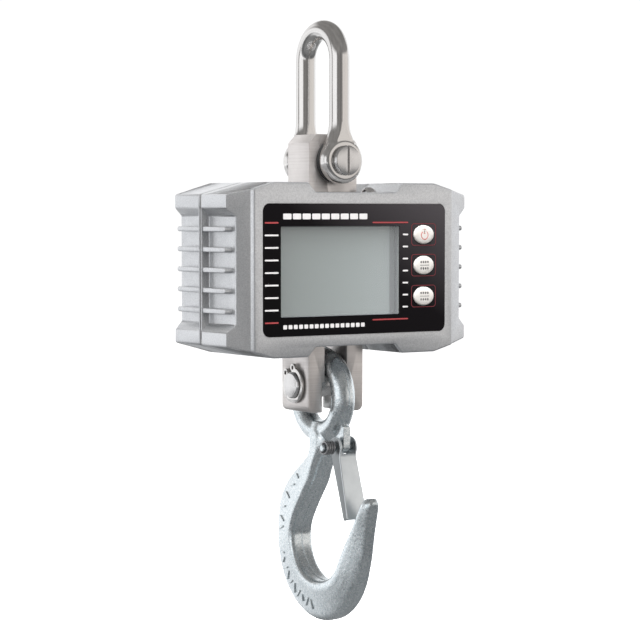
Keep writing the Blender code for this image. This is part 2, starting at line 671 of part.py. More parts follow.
def make_front_group():
    f = FINISH
    face = -PLATE_Y + OVERLAY_RECESS - GAP
    left, right, bottom, top = WINDOW
    outline = rounded(-OVERLAY_X, OVERLAY_X, -OVERLAY_Z, OVERLAY_Z, OVERLAY_ROUND)
    overlay = solid("keypad_overlay", prism(outline, "Y", face - OVERLAY_T, face), BODY,
                    f["overlay"])
    cut(overlay, block((left, right), (face - 5, face + 5), (bottom, top)))
    for z in BUTTON_Z:
        hole = ellipse((BUTTON_X, z), BUTTON_RX + BUTTON_HOLE_GAP, BUTTON_RZ + BUTTON_HOLE_GAP)
        cut(overlay, prism(hole, "Y", face - 5, face + 5))
    solid("display_window", block((left + GAP, right - GAP), (face - WINDOW_T, face + 1.0),
                                  (bottom + GAP, top - GAP)), BODY, f["lens"])

    inner = -PLATE_Y + WALL + GAP
    lip = LCD_LIP
    panel = inner + BEZEL_T - LCD_SINK
    solid("display_panel", block((left - lip, right + lip), (panel, panel + LCD_T),
                                 (bottom - lip, top + lip)), BODY, f["lcd"])
    out = lip + BEZEL_LIP
    bezel = solid("display_bezel", block((left - out, right + out),
                                         (inner, inner + BEZEL_T + 1.0),
                                         (bottom - out, top + out)), BODY, f["plastic"])
    cut(bezel, block((left, right), (inner - 2, inner + 9), (bottom, top)))
    seat = lip + GAP
    cut(bezel, block((left - seat, right + seat), (panel - GAP, inner + 9),
                     (bottom - seat, top + seat)))

    front = board_front()
    board = solid("main_board", block((-BOARD_X, BOARD_X), (front, front + BOARD_T),
                                      (-BOARD_Z, BOARD_Z)), BODY, f["board"])
    for side in (-1, 1):
        cut(board, rod("Y", (side * BAR_SCREW_X, BAR_LEVEL), BOSS_R + RUN_GAP, front - 1,
                       front + BOARD_T + 1, 16))
    for i, (x, z) in enumerate(board_screw_places()):
        cut(board, rod("Y", (x, z), SCREW_R + SCREW_HOLE_GAP, front - 1, front + BOARD_T + 1, 12))
        seat = front + BOARD_T + GAP
        screw = solid(f"board_screw_{i + 1}", rod("Y", (x, z), SCREW_R, front - 5.0, seat + 0.5,
                                                 12), BODY, f["spring"], 40)
        join(screw, rod("Y", (x, z), SCREW_HEAD_R, seat, seat + SCREW_HEAD_T, 16))


def make_buttons():
    f = FINISH
    front = board_front()
    skin_back = -PLATE_Y + WALL
    names = ("top", "middle", "bottom")
    for name, z in zip(names, BUTTON_Z):
        axis = KEY_AXES[name]
        cap_front = -PLATE_Y + OVERLAY_RECESS - GAP - OVERLAY_T - BUTTON_PROUD
        foot = skin_back + GAP + BUTTON_FLANGE
        bm = prism(ellipse((BUTTON_X, z), BUTTON_RX, BUTTON_RZ), "Y", cap_front, foot)
        rims = [e for e in bm.edges if all(abs(v.co.y - cap_front) < 1e-6 for v in e.verts)]
        bmesh.ops.bevel(bm, geom=rims, offset=BUTTON_EDGE, segments=3, profile=0.5, affect="EDGES",
                        material=-1)
        key = solid(f"button_{name}", bm, axis, f["keycap"], 40)
        flange = ellipse((BUTTON_X, z), BUTTON_RX + BUTTON_FLANGE_LIP,
                         BUTTON_RZ + BUTTON_FLANGE_LIP)
        join(key, prism(flange, "Y", skin_back + GAP, foot))
        sw, st, sh = SWITCH
        solid(f"key_switch_{name}", block((BUTTON_X - sw / 2, BUTTON_X + sw / 2),
                                          (front - GAP - st, front - GAP),
                                          (z - sh / 2, z + sh / 2)), BODY, f["plastic"])


# ---- batteries ------------------------------------------------------------------------------
def tray_levels():
    """Back plane, front plane and the heights of the two rows of cells."""
    back = PLATE_Y - DOOR_T - DOOR_SEAL_T - GAP
    pitch = 2 * AA_R + AA_GAP
    return back, back - pitch - TRAY_WALL, (pitch / 2, -pitch / 2)


def make_battery_group():
    f = FINISH
    back, front, rows = tray_levels()
    half_x = AA_L + AA_GAP / 2 + CONTACT_ROOM + TRAY_WALL
    half_z = 2 * AA_R + AA_GAP + TRAY_WALL
    tray = solid("battery_tray", block((-half_x, half_x), (front, back - 1.5), (-half_z, half_z)),
                 BODY, f["plastic"])
    inner_x, inner_z = half_x - TRAY_WALL, half_z - TRAY_WALL
    cut(tray, block((-inner_x, inner_x), (front + TRAY_WALL, back + 2), (-inner_z, inner_z)))
    middle = front + TRAY_WALL + GAP + AA_R
    number = 0
    for z in rows:
        for side in (-1, 1):
            number += 1
            low, high = sorted((side * (AA_GAP / 2), side * (AA_L + AA_GAP / 2 - 1.5)))
            cell = solid(f"battery_{number}", rod("X", (middle, z), AA_R, low, high, 20), BODY,
                         f["cell"], 40)
            tip = sorted((side * (AA_L + AA_GAP / 2 - 2.0), side * (AA_L + AA_GAP / 2 - 0.3)))
            join(cell, rod("X", (middle, z), 2.6, tip[0], tip[1], 14))
    for side, name in ((-1, "contact_left"), (1, "contact_right")):
        near = inner_x - GAP
        low, high = sorted((side * near, side * (near - CONTACT_T)))
        solid(name, block((low, high), (front + TRAY_WALL + 1.0, back - 3.0),
                          (-inner_z + 1.5, inner_z - 1.5)), BODY, f["brass"])


def make_battery_door():
    f = FINISH
    door_front = PLATE_Y - DOOR_T + GAP
    outline = rounded(-DOOR_X, DOOR_X, -DOOR_Z, DOOR_Z, DOOR_ROUND)
    door = solid("battery_door", prism(outline, "Y", door_front, PLATE_Y), BODY, f["cast"])
    for end in (-1, 1):
        x = end * DOOR_SCREW_X
        cut(door, rod("Y", (x, 0), SCREW_R + SCREW_HOLE_GAP, door_front - 1, PLATE_Y + 1, 12))
        cut(door, rod("Y", (x, 0), SCREW_HEAD_R + GAP, PLATE_Y - DOOR_SCREW_SINK, PLATE_Y + 1, 18))
        name = "door_screw_left" if end < 0 else "door_screw_right"
        seat = PLATE_Y - DOOR_SCREW_SINK + GAP
        screw = solid(name, rod("Y", (x, 0), SCREW_R, PLATE_Y - DOOR_T - 7.0, seat + 0.5, 14),
                      BODY, f["spring"], 40)
        join(screw, rod("Y", (x, 0), SCREW_HEAD_R, seat, PLATE_Y - 0.1, 18))
    well_x, well_z = DOOR_X - DOOR_LIP - DOOR_WELL - GAP, DOOR_Z - DOOR_LIP - GAP
    low = door_front - GAP - DOOR_SEAL_T
    seal = solid("door_seal", block((-well_x, well_x), (low, low + DOOR_SEAL_T),
                                    (-well_z, well_z)), BODY, f["rubber"])
    in_x, in_z = well_x - DOOR_SEAL_W, well_z - DOOR_SEAL_W
    cut(seal, block((-in_x, in_x), (low - 1, low + 4), (-in_z, in_z)))


def make_cable():
    """The cell's lead, from the strain gauges to the circuit board."""
    start = Vector((CELL_W / 2 + GAP, 0, GAUGE_Z))
    finish = Vector((CELL_W / 2 + 6.0, board_front() + BOARD_T + GAP, GAUGE_Z - 6.0))
    curve = bpy.data.curves.new("cell_cable", "CURVE")
    curve.dimensions = "3D"
    curve.bevel_depth = CABLE_R * MM
    curve.bevel_resolution = 2
    curve.use_fill_caps = True
    line = curve.splines.new("POLY")
    lean = Vector((6.0, 0, 0))
    steps = 8
    pull = Vector((0, 7.0, 0))
    points = []
    for i in range(steps + 1):
        t = i / steps
        a, b, c, d = (1 - t) ** 3, 3 * t * (1 - t) ** 2, 3 * t * t * (1 - t), t ** 3
        points.append(a * start + b * (start + lean) + c * (finish + pull) + d * finish)
    line.points.add(steps)
    for point, place in zip(line.points, points):
        point.co = (*(place * MM), 1.0)
    node = bpy.data.objects.new("cell_cable", curve)
    node.parent = ASSEMBLY
    curve.materials.append(FINISH["rubber"])
    bpy.context.collection.objects.link(node)


# ---- hook pin and clips ---------------------------------------------------------------------
def make_hook_pin():
    f = FINISH
    end = CLEVIS_W / 2 + HOOK_PIN_OUT
    pin = solid("hook_pin", chamfered_rod("X", (0, HOOK_PIN_Z), HOOK_PIN_R, -end, end, 0.8, 32),
                PIN, f["polish"], 40)
    for side, name in ((-1, "circlip_left"), (1, "circlip_right")):
        near = CLEVIS_W / 2 + RUN_GAP
        low, high = sorted((side * near, side * (near + CLIP_T)))
        ends = sorted((side * (near - GROOVE_ROOM), side * (near + CLIP_T + GROOVE_ROOM)))
        ring = rod("X", (0, HOOK_PIN_Z), HOOK_PIN_R + 1.0, *ends, 32)
        inner = rod("X", (0, HOOK_PIN_Z), HOOK_PIN_R - GROOVE_DEPTH, *ends, 32)
        collar_tool(pin, ring, inner)
        make_circlip(name, low, high)


def collar_tool(node, ring, inner):
    """Cut a groove: a ring-shaped cutter with the shaft's core left out."""
    tool = solid(node.name + "_groove", ring, node.parent)
    core = solid(node.name + "_core", inner, node.parent)
    hollow = tool.modifiers.new("Core", "BOOLEAN")
    hollow.operation = "DIFFERENCE"
    hollow.solver = "EXACT"
    hollow.object = core
    for item in (tool, core):
        item.hide_render = True
        item.display_type = "WIRE"
    step = node.modifiers.new("Groove", "BOOLEAN")
    step.operation = "DIFFERENCE"
    step.solver = "EXACT"
    step.object = tool


def make_circlip(name, low, high):
    """An open ring with two lugs beside its opening, each with a plier hole."""
    inner = HOOK_PIN_R - GROOVE_DEPTH + GAP
    start, end = CLIP_MIDDLE + CLIP_OPENING, CLIP_MIDDLE + 360 - CLIP_OPENING
    outer = arc((0, HOOK_PIN_Z), CLIP_R, start, end, 18)
    hole = arc((0, HOOK_PIN_Z), inner, end, start, 18)
    node = solid(name, prism(outer + hole, "X", low, high), PIN, FINISH["polish"], 40)
    for side in (-1, 1):
        turn = math.radians(CLIP_MIDDLE + side * CLIP_LUG_TURN)
        place = (CLIP_R * math.cos(turn) * 1.05, HOOK_PIN_Z + CLIP_R * math.sin(turn) * 1.05)
        join(node, rod("X", place, CLIP_LUG_R, low, high, 10))
        cut(node, rod("X", place, CLIP_HOLE_R, low - 1, high + 1, 8))


# ---- hook -----------------------------------------------------------------------------------
def hook_stations():
    """Inner point, outer point and widths along the hook, from the shank to the tip."""
    shank = [((-10.5, -92.0), (10.5, -92.0), 13.0, 12.0),
             ((-9.0, -100.0), (9.6, -100.0), 14.0, 11.5),
             ((-7.0, -108.0), (9.8, -106.5), 15.5, 11.0),
             ((-3.0, -114.5), (12.5, -112.5), 16.5, 10.5),
             ((0.3, -120.5), (19.0, -117.8), 17.0, 10.0),
             ((4.3, -128.5), (28.5, -124.8), HOOK_W_IN, 9.5),
             ((10.2, -136.5), (37.0, -132.8), HOOK_W_IN, HOOK_W_OUT),
             ((17.0, -145.5), (43.5, -143.0), HOOK_W_IN, HOOK_W_OUT),
             ((22.4, -154.0), (45.8, -154.0), HOOK_W_IN, HOOK_W_OUT)]
    steps = 16
    bowl = []
    # ten-degree steps, placed so that one facet lies level at the bottom of the bowl
    inner = arc((0, BOWL_Z), BOWL_R, 5, -155, steps)
    outer = arc((BOWL_OUT_Y, BOWL_Z - BOWL_OUT_DROP), BOWL_OUT_R, 6, -160, steps)
    for i, (a, b) in enumerate(zip(inner, outer)):
        t = i / steps
        bowl.append((a, b, HOOK_W_IN - 2.5 * t, HOOK_W_OUT))
    tip = [((-26.4, -165.0), (-45.4, -169.5), 14.0, 8.6),
           ((-31.4, -157.6), (-47.2, -160.0), 13.2, 8.2),
           ((-36.6, -149.5), (-49.4, -149.5), 12.6, 7.8),
           ((-40.8, -142.0), (-51.6, -140.5), 12.0, 7.6),
           ((-43.6, -136.5), (-52.6, -135.5), 10.6, 6.8),
           ((-45.8, -133.2), (-51.4, -132.6), 6.4, 4.2)]
    return [(set_forward(a), set_forward(b), w_in, w_out)
            for a, b, w_in, w_out in shank + bowl + tip]


def set_forward(point):
    """Shift a profile point by HOOK_SET, growing from nothing at the eye."""
    y, z = point
    share = min(max((HOOK_SET_TOP - z) / HOOK_SET_RUN, 0.0), 1.0)
    return (y + HOOK_SET * share, z)


def hook_ring(inner, outer, w_in, w_out):
    """One section: a rounded taper, wide inside the bowl and narrow outside."""
    a, b = Vector((0, *inner)), Vector((0, *outer))
    depth = (b - a).length
    along = (b - a).normalized()
    r = 0.16 * depth
    half_in, half_out = w_in / 2, w_out / 2
    side = [(0.0, half_in - 0.42 * w_in), (0.02, half_in - 0.22 * w_in),
            (0.10, half_in - 0.06 * w_in), (0.2, half_in), (0.45, (half_in * 1.05 + half_out) / 2 + 0.3),
            (0.78, half_out + 0.35), (0.94, half_out - 0.15 * w_out), (1.0, half_out - 0.4 * w_out)]
    ring = [a + along * (t * depth) + Vector((x, 0, 0)) for t, x in side]
    ring += [a + along * (t * depth) - Vector((x, 0, 0)) for t, x in reversed(side)]
    return ring


def make_hook():
    f = FINISH
    rings = [hook_ring(*s) for s in hook_stations()]
    node = solid("hook", skin(rings), HOOK, f["zinc"], 40)
    loop = [(0, y, z) for y, z in circle((0, RING_Z), RING_MID, 36)]
    join(node, sweep(loop, RING_BAR_R, 16, closed=True))
    y, z = LATCH_Y, LATCH_Z
    nose = arc((y, z), LUG_R, 180, 265, 6)
    outline = [(-4.0, LUG_TOP), (y - LUG_R, LUG_TOP)] + nose + [(-4.0, z - 8.0)]
    join(node, prism(outline, "X", -LUG_T / 2, LUG_T / 2))
    cut(node, rod("X", (y, z), LATCH_PIN_R + GAP, -9, 9, 20))

    half = LATCH_W_TOP / 2 + 1.2
    pin = solid("latch_pin", rod("X", (y, z), LATCH_PIN_R, -half - SPRING_WIRE * SPRING_TURNS - 3.0,
                                 half + 0.5, 20), HOOK, f["zinc"], 40)
    join(pin, rod("X", (y, z), LATCH_PIN_R + 1.1, half - 0.6, half + 0.8, 20))


def make_spring():
    """Torsion spring: close-wound turns beside the latch and one leg along the shank."""
    start = -(LATCH_W_TOP / 2) - 1.0 - SPRING_WIRE / 2
    pitch = SPRING_WIRE + GAP
    per_turn = 10
    count = SPRING_TURNS * per_turn
    bm = bmesh.new()
    rings = []
    sides = 5
    middle = Vector((0, LATCH_Y, LATCH_Z))
    coil = SPRING_R - SPRING_WIRE / 2
    for i in range(count + 1):
        t = 2 * math.pi * i / per_turn
        out = Vector((0, math.cos(t), math.sin(t)))
        x = start - pitch * i / per_turn
        centre = middle + out * coil + Vector((x, 0, 0))
        ring = []
        for k in range(sides):
            a = 2 * math.pi * k / sides
            ring.append(bm.verts.new(centre + SPRING_WIRE / 2 * (math.cos(a) * out
                                                              + Vector((math.sin(a), 0, 0)))))
        rings.append(ring)
    for one, two in zip(rings, rings[1:]):
        for k in range(sides):
            bm.faces.new((one[k], one[(k + 1) % sides], two[(k + 1) % sides], two[k]))
    bm.faces.new(rings[0])
    bm.faces.new(rings[-1])
    solid("latch_spring", bm, HOOK, FINISH["spring"], 50)


def make_latch():
    """A pressed channel: a tapering web with two ears on the pin."""
    y, z = LATCH_Y, LATCH_Z
    tip = Vector(LATCH_TIP)
    top = Vector((y - LATCH_WEB_TOP[0], z - LATCH_WEB_TOP[1]))
    down = (tip - top).normalized()
    back = Vector((-down.y, down.x))
    if back.x < 0:
        back = -back
    ear = arc((y, z), LATCH_EAR_R, 190, -40, 10)
    side = ([tuple(top)] + ear + [tuple(top + back * (LATCH_FLANGE + 3.0) + down * 7.0),
            tuple(tip + back * LATCH_FLANGE), tuple(tip)])
    bm = bmesh.new()
    w0, w1 = LATCH_W_TOP / 2, LATCH_W_END / 2

    def half_width(zz):
        t = min(max((top.y - zz) / (top.y - tip.y), 0.0), 1.0)
        return w0 + (w1 - w0) * t

    left = [bm.verts.new((-half_width(zz), yy, zz)) for yy, zz in side]
    right = [bm.verts.new((half_width(zz), yy, zz)) for yy, zz in side]
    bm.faces.new(left)
    bm.faces.new(list(reversed(right)))
    n = len(side)
    for k in range(n):
        bm.faces.new((left[k], right[k], right[(k + 1) % n], left[(k + 1) % n]))
    node = solid("latch", bm, LATCH, FINISH["zinc"], 30)
    inner = bmesh.new()
    shift = Vector(back) * LATCH_T
    above, below = top + shift - down * 30.0, tip + shift + down * 10.0
    hollow = [tuple(above), tuple(above + back * 40), tuple(below + back * 40), tuple(below)]
    wl = [inner.verts.new((-half_width(zz) + LATCH_T, yy, zz)) for yy, zz in hollow]
    wr = [inner.verts.new((half_width(zz) - LATCH_T, yy, zz)) for yy, zz in hollow]
    inner.faces.new(wl)
    inner.faces.new(list(reversed(wr)))
    for k in range(4):
        inner.faces.new((wl[k], wr[k], wr[(k + 1) % 4], wl[(k + 1) % 4]))
    cut(node, inner)
    wall = LATCH_W_TOP / 2 - LATCH_T
    cut(node, block((-wall, wall), (y - 20, y + 20), (top.y, top.y + 30)))
    cut(node, rod("X", (y, z), LATCH_PIN_R + GAP, -12, 12, 20))


# ---- assembly -------------------------------------------------------------------------------
clear_scene()
ASSEMBLY = empty("assembly", (0, 0, -CROWN_Z))
FINISH = make_finishes()
SHACKLE = empty("shackle_frame", (0, 0, SHACKLE_PIN_Z), ASSEMBLY)
BODY = empty("scale_frame", (0, 0, SHACKLE_PIN_Z), ASSEMBLY)
PIN = empty("hook_pin_axis", (0, 0, HOOK_PIN_Z), ASSEMBLY)
HOOK = empty("hook_axis", (0, 0, HOOK_PIN_Z), ASSEMBLY)
LATCH = empty("latch_axis", (0, LATCH_Y, LATCH_Z), ASSEMBLY)
KEY_AXES = {name: empty(f"key_axis_{name}", (BUTTON_X, -PLATE_Y, z), ASSEMBLY)
            for name, z in zip(("top", "middle", "bottom"), BUTTON_Z)}

make_shackle()
make_cell()
make_mount_bar()
make_front_shell()
make_rear_shell()
make_case_screws()
make_gasket()
make_seal("upper_seal", 1, CELL_W, CELL_D)
make_seal("lower_seal", -1, CLEVIS_W, CLEVIS_D)
make_front_group()
make_buttons()
make_battery_group()
make_battery_door()
make_cable()
make_hook_pin()
make_hook()
make_spring()
make_latch()
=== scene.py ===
"""Looks of a digital crane scale that hangs between a D shackle and a latched eye hook.

Pieces are drawn in millimetres, with heights from the housing's middle, and put() carries
them into the frame, in metres.  +X runs across the housing, -Y faces the reader, +Z is up.
"""
import math

import bmesh
import bpy
from mathutils import Matrix, Vector


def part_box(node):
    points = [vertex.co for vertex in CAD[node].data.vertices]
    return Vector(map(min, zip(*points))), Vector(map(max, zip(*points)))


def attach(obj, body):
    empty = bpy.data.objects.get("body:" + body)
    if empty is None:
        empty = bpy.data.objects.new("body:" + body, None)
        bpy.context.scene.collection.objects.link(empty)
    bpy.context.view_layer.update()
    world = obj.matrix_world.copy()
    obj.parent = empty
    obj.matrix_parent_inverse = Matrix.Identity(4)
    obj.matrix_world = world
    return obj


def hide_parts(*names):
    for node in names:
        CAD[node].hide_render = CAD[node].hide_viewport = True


MM = 0.001
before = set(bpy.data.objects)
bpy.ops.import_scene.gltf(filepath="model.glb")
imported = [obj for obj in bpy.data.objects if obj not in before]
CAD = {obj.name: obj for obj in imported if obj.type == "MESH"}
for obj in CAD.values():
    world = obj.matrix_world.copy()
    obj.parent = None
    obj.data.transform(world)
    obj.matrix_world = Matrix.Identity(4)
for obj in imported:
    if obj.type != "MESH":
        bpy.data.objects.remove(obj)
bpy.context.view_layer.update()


def span(node):
    """A CAD node's lowest and highest corners, in the millimetres that pieces are drawn in."""
    low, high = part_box(node)
    lift = Vector((0, 0, MIDDLE_Z))
    return low / MM - lift, high / MM - lift


def middle_of(node):
    """A CAD node's middle, across and up."""
    low, high = span(node)
    return (low.x + high.x) / 2, (low.z + high.z) / 2


MIDDLE_Z = (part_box("front_shell")[0].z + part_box("front_shell")[1].z) / 2 / MM

# ---- sizes taken from the frame ----
SHELL_LOW, SHELL_HIGH = span("rear_shell")
CASE_X = SHELL_HIGH.x
PLATE_Y = SHELL_HIGH.y
CROWN_Z = SHELL_HIGH.z
SEAM = SHELL_LOW.y
CELL_LOW, CELL_HIGH = span("load_cell")
FILM_LOW, FILM_HIGH = span("keypad_overlay")
LENS_LOW, LENS_HIGH = span("display_window")
DOOR_LOW, DOOR_HIGH = span("battery_door")
PIN_LOW, PIN_HIGH = span("hook_pin")
HEAD_LOW, HEAD_HIGH = span("shackle_pin")
BOW_HIGH = span("shackle_bow")[1]
AXLE_LOW, AXLE_HIGH = span("latch_pin")

GAP = 0.3            # round parts that are fixed
RUN_GAP = 0.5        # round parts that turn

# ---- housing ----
CASE_Z = 43.3
CASE_Y = 28.7
PLATE_X = 70.0       # the plate's upright edge
PLATE_Z = 46.6
STEP_X = 71.3        # foot of the small step up to the plate
STEP_Y = 33.6
STEP_Z = 46.3
CROWN_X = 57.0
WALL = 2.6
SIDE_WALL = 8.6
CHEEK_ROUND = 3.4
NOTCH_X = 28.3
NOTCH_FLOOR = 44.6
NOTCH_SLOPE = 5.0
GRIP_DEPTH = 5.1
GRIP_Z = 31.0
GRIP_SLOPE = 4.4
GRIP_START = 1.6
RIB_COUNT = 5
RIB_PITCH = 11.7
RIB_T = 3.0
RIB_END = 27.2
SOFT_EDGE = 0.7
FILM_ROUND = 4.5
SEAL_ROOM = 2.5

# ---- shackle ----
STOCK = 12.0
LEG_Y = 18.0
EYE_R = 13.5
EYE_OUT = BOW_HIGH.y
EYE_IN = EYE_OUT - STOCK - 0.2
# thickness of the dark discs that paint the shadow behind each of the bow's eyes
SHADOW_WASHER_T = 3.0
PIN_Z = (HEAD_LOW.z + HEAD_HIGH.z) / 2
HEAD_R = (HEAD_HIGH.z - HEAD_LOW.z) / 2
HEAD_FACE = HEAD_LOW.y
HEAD_T = 3.2
SCREW_PIN_R = 6.0
BOW_Z = BOW_HIGH.z - LEG_Y - STOCK / 2

# ---- hook ----
HOOK_PIN_Z = (PIN_LOW.z + PIN_HIGH.z) / 2
HOOK_PIN_R = (PIN_HIGH.z - PIN_LOW.z) / 2
RING_BAR_R = 7.0
RING_IN = 15.0
RING_MID = RING_IN + RING_BAR_R
RING_Z = HOOK_PIN_Z + HOOK_PIN_R + GAP - RING_IN
BOWL_Z = -163.0
BOWL_R = 24.5
BOWL_OUT_R = 44.9
BOWL_OUT = (1.0, -166.5)
HOOK_SET = -2.3
HOOK_SET_TOP = -92.0
HOOK_SET_RUN = 18.0
LATCH_Y = (AXLE_LOW.y + AXLE_HIGH.y) / 2
LATCH_Z = (AXLE_LOW.z + AXLE_HIGH.z) / 2


# ---- drawing helpers ----
def arc(centre, radius, start, end, steps):
    """Points on an arc, in degrees, both ends included."""
    turn = [math.radians(start + (end - start) * i / steps) for i in range(steps + 1)]
    return [(centre[0] + radius * math.cos(t), centre[1] + radius * math.sin(t)) for t in turn]


def circle(centre, radius, steps=40):
    return arc(centre, radius, 0, 360, steps)[:-1]


def ellipse(centre, rx, rz, steps=48):
    return [(centre[0] + rx * x, centre[1] + rz * z) for x, z in circle((0, 0), 1.0, steps)]


def rounded(left, right, bottom, top, radius, steps=10):
    """A rectangle's outline with round corners."""
    r = radius
    return (arc((right - r, top - r), r, 0, 90, steps) + arc((left + r, top - r), r, 90, 180, steps)
            + arc((left + r, bottom + r), r, 180, 270, steps)
            + arc((right - r, bottom + r), r, 270, 360, steps))


def spot(axis, a, b, along):
    """A point from its place along an axis and its other two coordinates, in order."""
    return {"X": (along, a, b), "Y": (a, along, b), "Z": (a, b, along)}[axis]


def slab(outline, axis, low, high):
    """An outline drawn out along one axis."""
    bm = bmesh.new()
    face = bm.faces.new([bm.verts.new(spot(axis, a, b, low)) for a, b in outline])
    made = bmesh.ops.extrude_face_region(bm, geom=[face])["geom"]
    moved = [item for item in made if isinstance(item, bmesh.types.BMVert)]
    bmesh.ops.translate(bm, verts=moved, vec=Vector(spot(axis, 0, 0, high - low)))
    bmesh.ops.recalc_face_normals(bm, faces=bm.faces)
    return bm


def block(x, y, z):
    return slab([(x[0], y[0]), (x[1], y[0]), (x[1], y[1]), (x[0], y[1])], "Z", z[0], z[1])


def rod(axis, centre, radius, low, high, steps=40):
    return slab(circle(centre, radius, steps), axis, low, high)


def turned(profile, axis, centre, steps=56):
    """A profile of (along, radius) pairs, spun about an axis through a centre."""
    bm = bmesh.new()
    row = [bm.verts.new(spot(axis, centre[0] + r, centre[1], t)) for t, r in profile]
    edges = [bm.edges.new(pair) for pair in zip(row, row[1:])]
    bmesh.ops.spin(bm, geom=row + edges, cent=spot(axis, *centre, 0), axis=spot(axis, 0, 0, 1),
                   angle=2 * math.pi, steps=steps, use_merge=True)
    bmesh.ops.remove_doubles(bm, verts=bm.verts, dist=0.001)
    bmesh.ops.recalc_face_normals(bm, faces=bm.faces)
    return bm


def rounded_disc(low, high, radius, edge, steps=5):
    """A turning profile for a disc with rounded rims."""
    bottom = arc((low + edge, radius - edge), edge, 180, 90, steps)
    top = arc((high - edge, radius - edge), edge, 90, 0, steps)
    return [(low, 0.0)] + bottom + top + [(high, 0.0)]


def hoop(bm, centre, radius, segments, turn=None):
    """A ring of vertices round a centre, turned from lying flat."""
    matrix = Matrix.Translation(Vector(centre)) @ (turn or Matrix.Identity(4))
    ring = bmesh.ops.create_circle(bm, segments=segments, radius=radius, matrix=matrix)["verts"]
    return ring, [e for e in bm.edges if e.verts[0] in ring and e.verts[1] in ring]


def draw_on(bm, edges, step):
    """Extrude a loop of edges by one step and return the new loop."""
    made = bmesh.ops.extrude_edge_only(bm, edges=edges)["geom"]
    verts = [item for item in made if isinstance(item, bmesh.types.BMVert)]
    bmesh.ops.translate(bm, verts=verts, vec=step)
    return [item for item in made if isinstance(item, bmesh.types.BMEdge)
            and item.verts[0] in verts and item.verts[1] in verts]


def swing_on(bm, edges, centre, axis, angle, steps):
    """Spin a loop of edges about an axis and return the last loop."""
    made = bmesh.ops.spin(bm, geom=edges, cent=centre, axis=axis, angle=angle,
                          steps=steps)["geom_last"]
    return [item for item in made if isinstance(item, bmesh.types.BMEdge)]


def close_ends(bm):
    """Cap what is still open and turn every face outwards."""
    bmesh.ops.holes_fill(bm, edges=bm.edges, sides=0)
    bmesh.ops.recalc_face_normals(bm, faces=bm.faces)
    return bm


def loft(bm, loops):
    """Walls between each loop and the next, with the two ends capped."""
    for one, two in zip(loops, loops[1:]):
        bmesh.ops.bridge_loops(bm, edges=one + two)
    return close_ends(bm)


# ---- making pieces ----
def show(made):
    bpy.context.scene.collection.objects.link(made)
    return made


def put(name, bm, material=None):
    """Turn a bmesh into an object in the frame."""
    bmesh.ops.translate(bm, verts=bm.verts, vec=(0, 0, MIDDLE_Z))
    bmesh.ops.scale(bm, verts=bm.verts, vec=(MM, MM, MM))
    mesh = bpy.data.meshes.new(name)
    bm.to_mesh(mesh)
    bm.free()
    if material:
        mesh.materials.append(material)
    return show(bpy.data.objects.new(name, mesh))


def settle(piece):
    """Fix a piece's modifiers into its mesh."""
    seen = piece.evaluated_get(bpy.context.evaluated_depsgraph_get())
    before = piece.data
    piece.data = bpy.data.meshes.new_from_object(seen)
    piece.modifiers.clear()
    bpy.data.meshes.remove(before)
    piece.data.name = piece.name
    return piece


def combine(piece, bm, operation):
    tool = put("tool", bm)
    step = piece.modifiers.new(operation, "BOOLEAN")
    step.operation = operation
    step.solver = "EXACT"
    step.object = tool
    settle(piece)
    bpy.data.meshes.remove(tool.data)


def cut(piece, bm):
    combine(piece, bm, "DIFFERENCE")


def join(piece, bm):
    combine(piece, bm, "UNION")


def soften(piece, width, segments=3, angle=30.0):
    """Round every edge that is sharper than an angle."""
    step = piece.modifiers.new("Soft edge", "BEVEL")
    step.width = width * MM
    step.segments = segments
    step.limit_method = "ANGLE"
    step.angle_limit = math.radians(angle)
    step.use_clamp_overlap = False
    step.miter_outer = "MITER_ARC"
    settle(piece)


def melt(piece, voxel, rounds):
    """Run overlapping forms together, as in a forging, and smooth the joins."""
    skin = piece.modifiers.new("Skin", "REMESH")
    skin.mode = "VOXEL"
    skin.voxel_size = voxel * MM
    calm = piece.modifiers.new("Calm", "SMOOTH")
    calm.factor = 0.5
    calm.iterations = rounds
    settle(piece)


def fit(piece, body, slot, *nodes, smooth=35.0):
    """Shade a finished piece, fix it to its body and hide the CAD nodes that it stands for."""
    piece.data.shade_smooth()
    piece.data.set_sharp_from_angle(angle=math.radians(smooth))
    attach(piece, body)
    if nodes:
        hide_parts(*nodes)
    return piece


def gather(forms):
    """Several bmeshes as one."""
    whole = bmesh.new()
    for bm in forms:
        mesh = bpy.data.meshes.new("part")
        bm.to_mesh(mesh)
        bm.free()
        whole.from_mesh(mesh)
        bpy.data.meshes.remove(mesh)
    return whole


# ---- finishes ----
def shader_of(material):
    return material.node_tree.nodes["Principled BSDF"]


def finish(name, colour, roughness, metallic=0.0, **sockets):
    """A material with its plain values set on the shader."""
    made = bpy.data.materials.new(name)
    made.use_nodes = True
    inputs = shader_of(made).inputs
    inputs["Base Color"].default_value = (*colour, 1.0)
    inputs["Roughness"].default_value = roughness
    inputs["Metallic"].default_value = metallic
    for socket, value in sockets.items():
        inputs[socket.replace("_", " ")].default_value = value
    return made


def add(owner, kind, **values):
    """A node of a material or the world, with some of its properties and inputs set."""
    made = owner.node_tree.nodes.new(kind)
    for name, value in values.items():
        if hasattr(made, name):
            setattr(made, name, value)
        else:
            made.inputs[name.replace("_", " ")].default_value = value
    return made


def wire(owner, source, target):
    owner.node_tree.links.new(source, target)


def rescale(owner, source, start, end, low=0.0, high=1.0):
    """A value carried from one range to another."""
    made = add(owner, "ShaderNodeMapRange", From_Min=start, From_Max=end, To_Min=low, To_Max=high)
    wire(owner, source, made.inputs["Value"])
    return made.outputs["Result"]


def place_of(material, scale=(1, 1, 1)):
    """Object coordinates, stretched."""
    where = add(material, "ShaderNodeTexCoord")
    shape = add(material, "ShaderNodeMapping", Scale=scale)
    wire(material, where.outputs["Object"], shape.inputs["Vector"])
    return shape.outputs["Vector"]


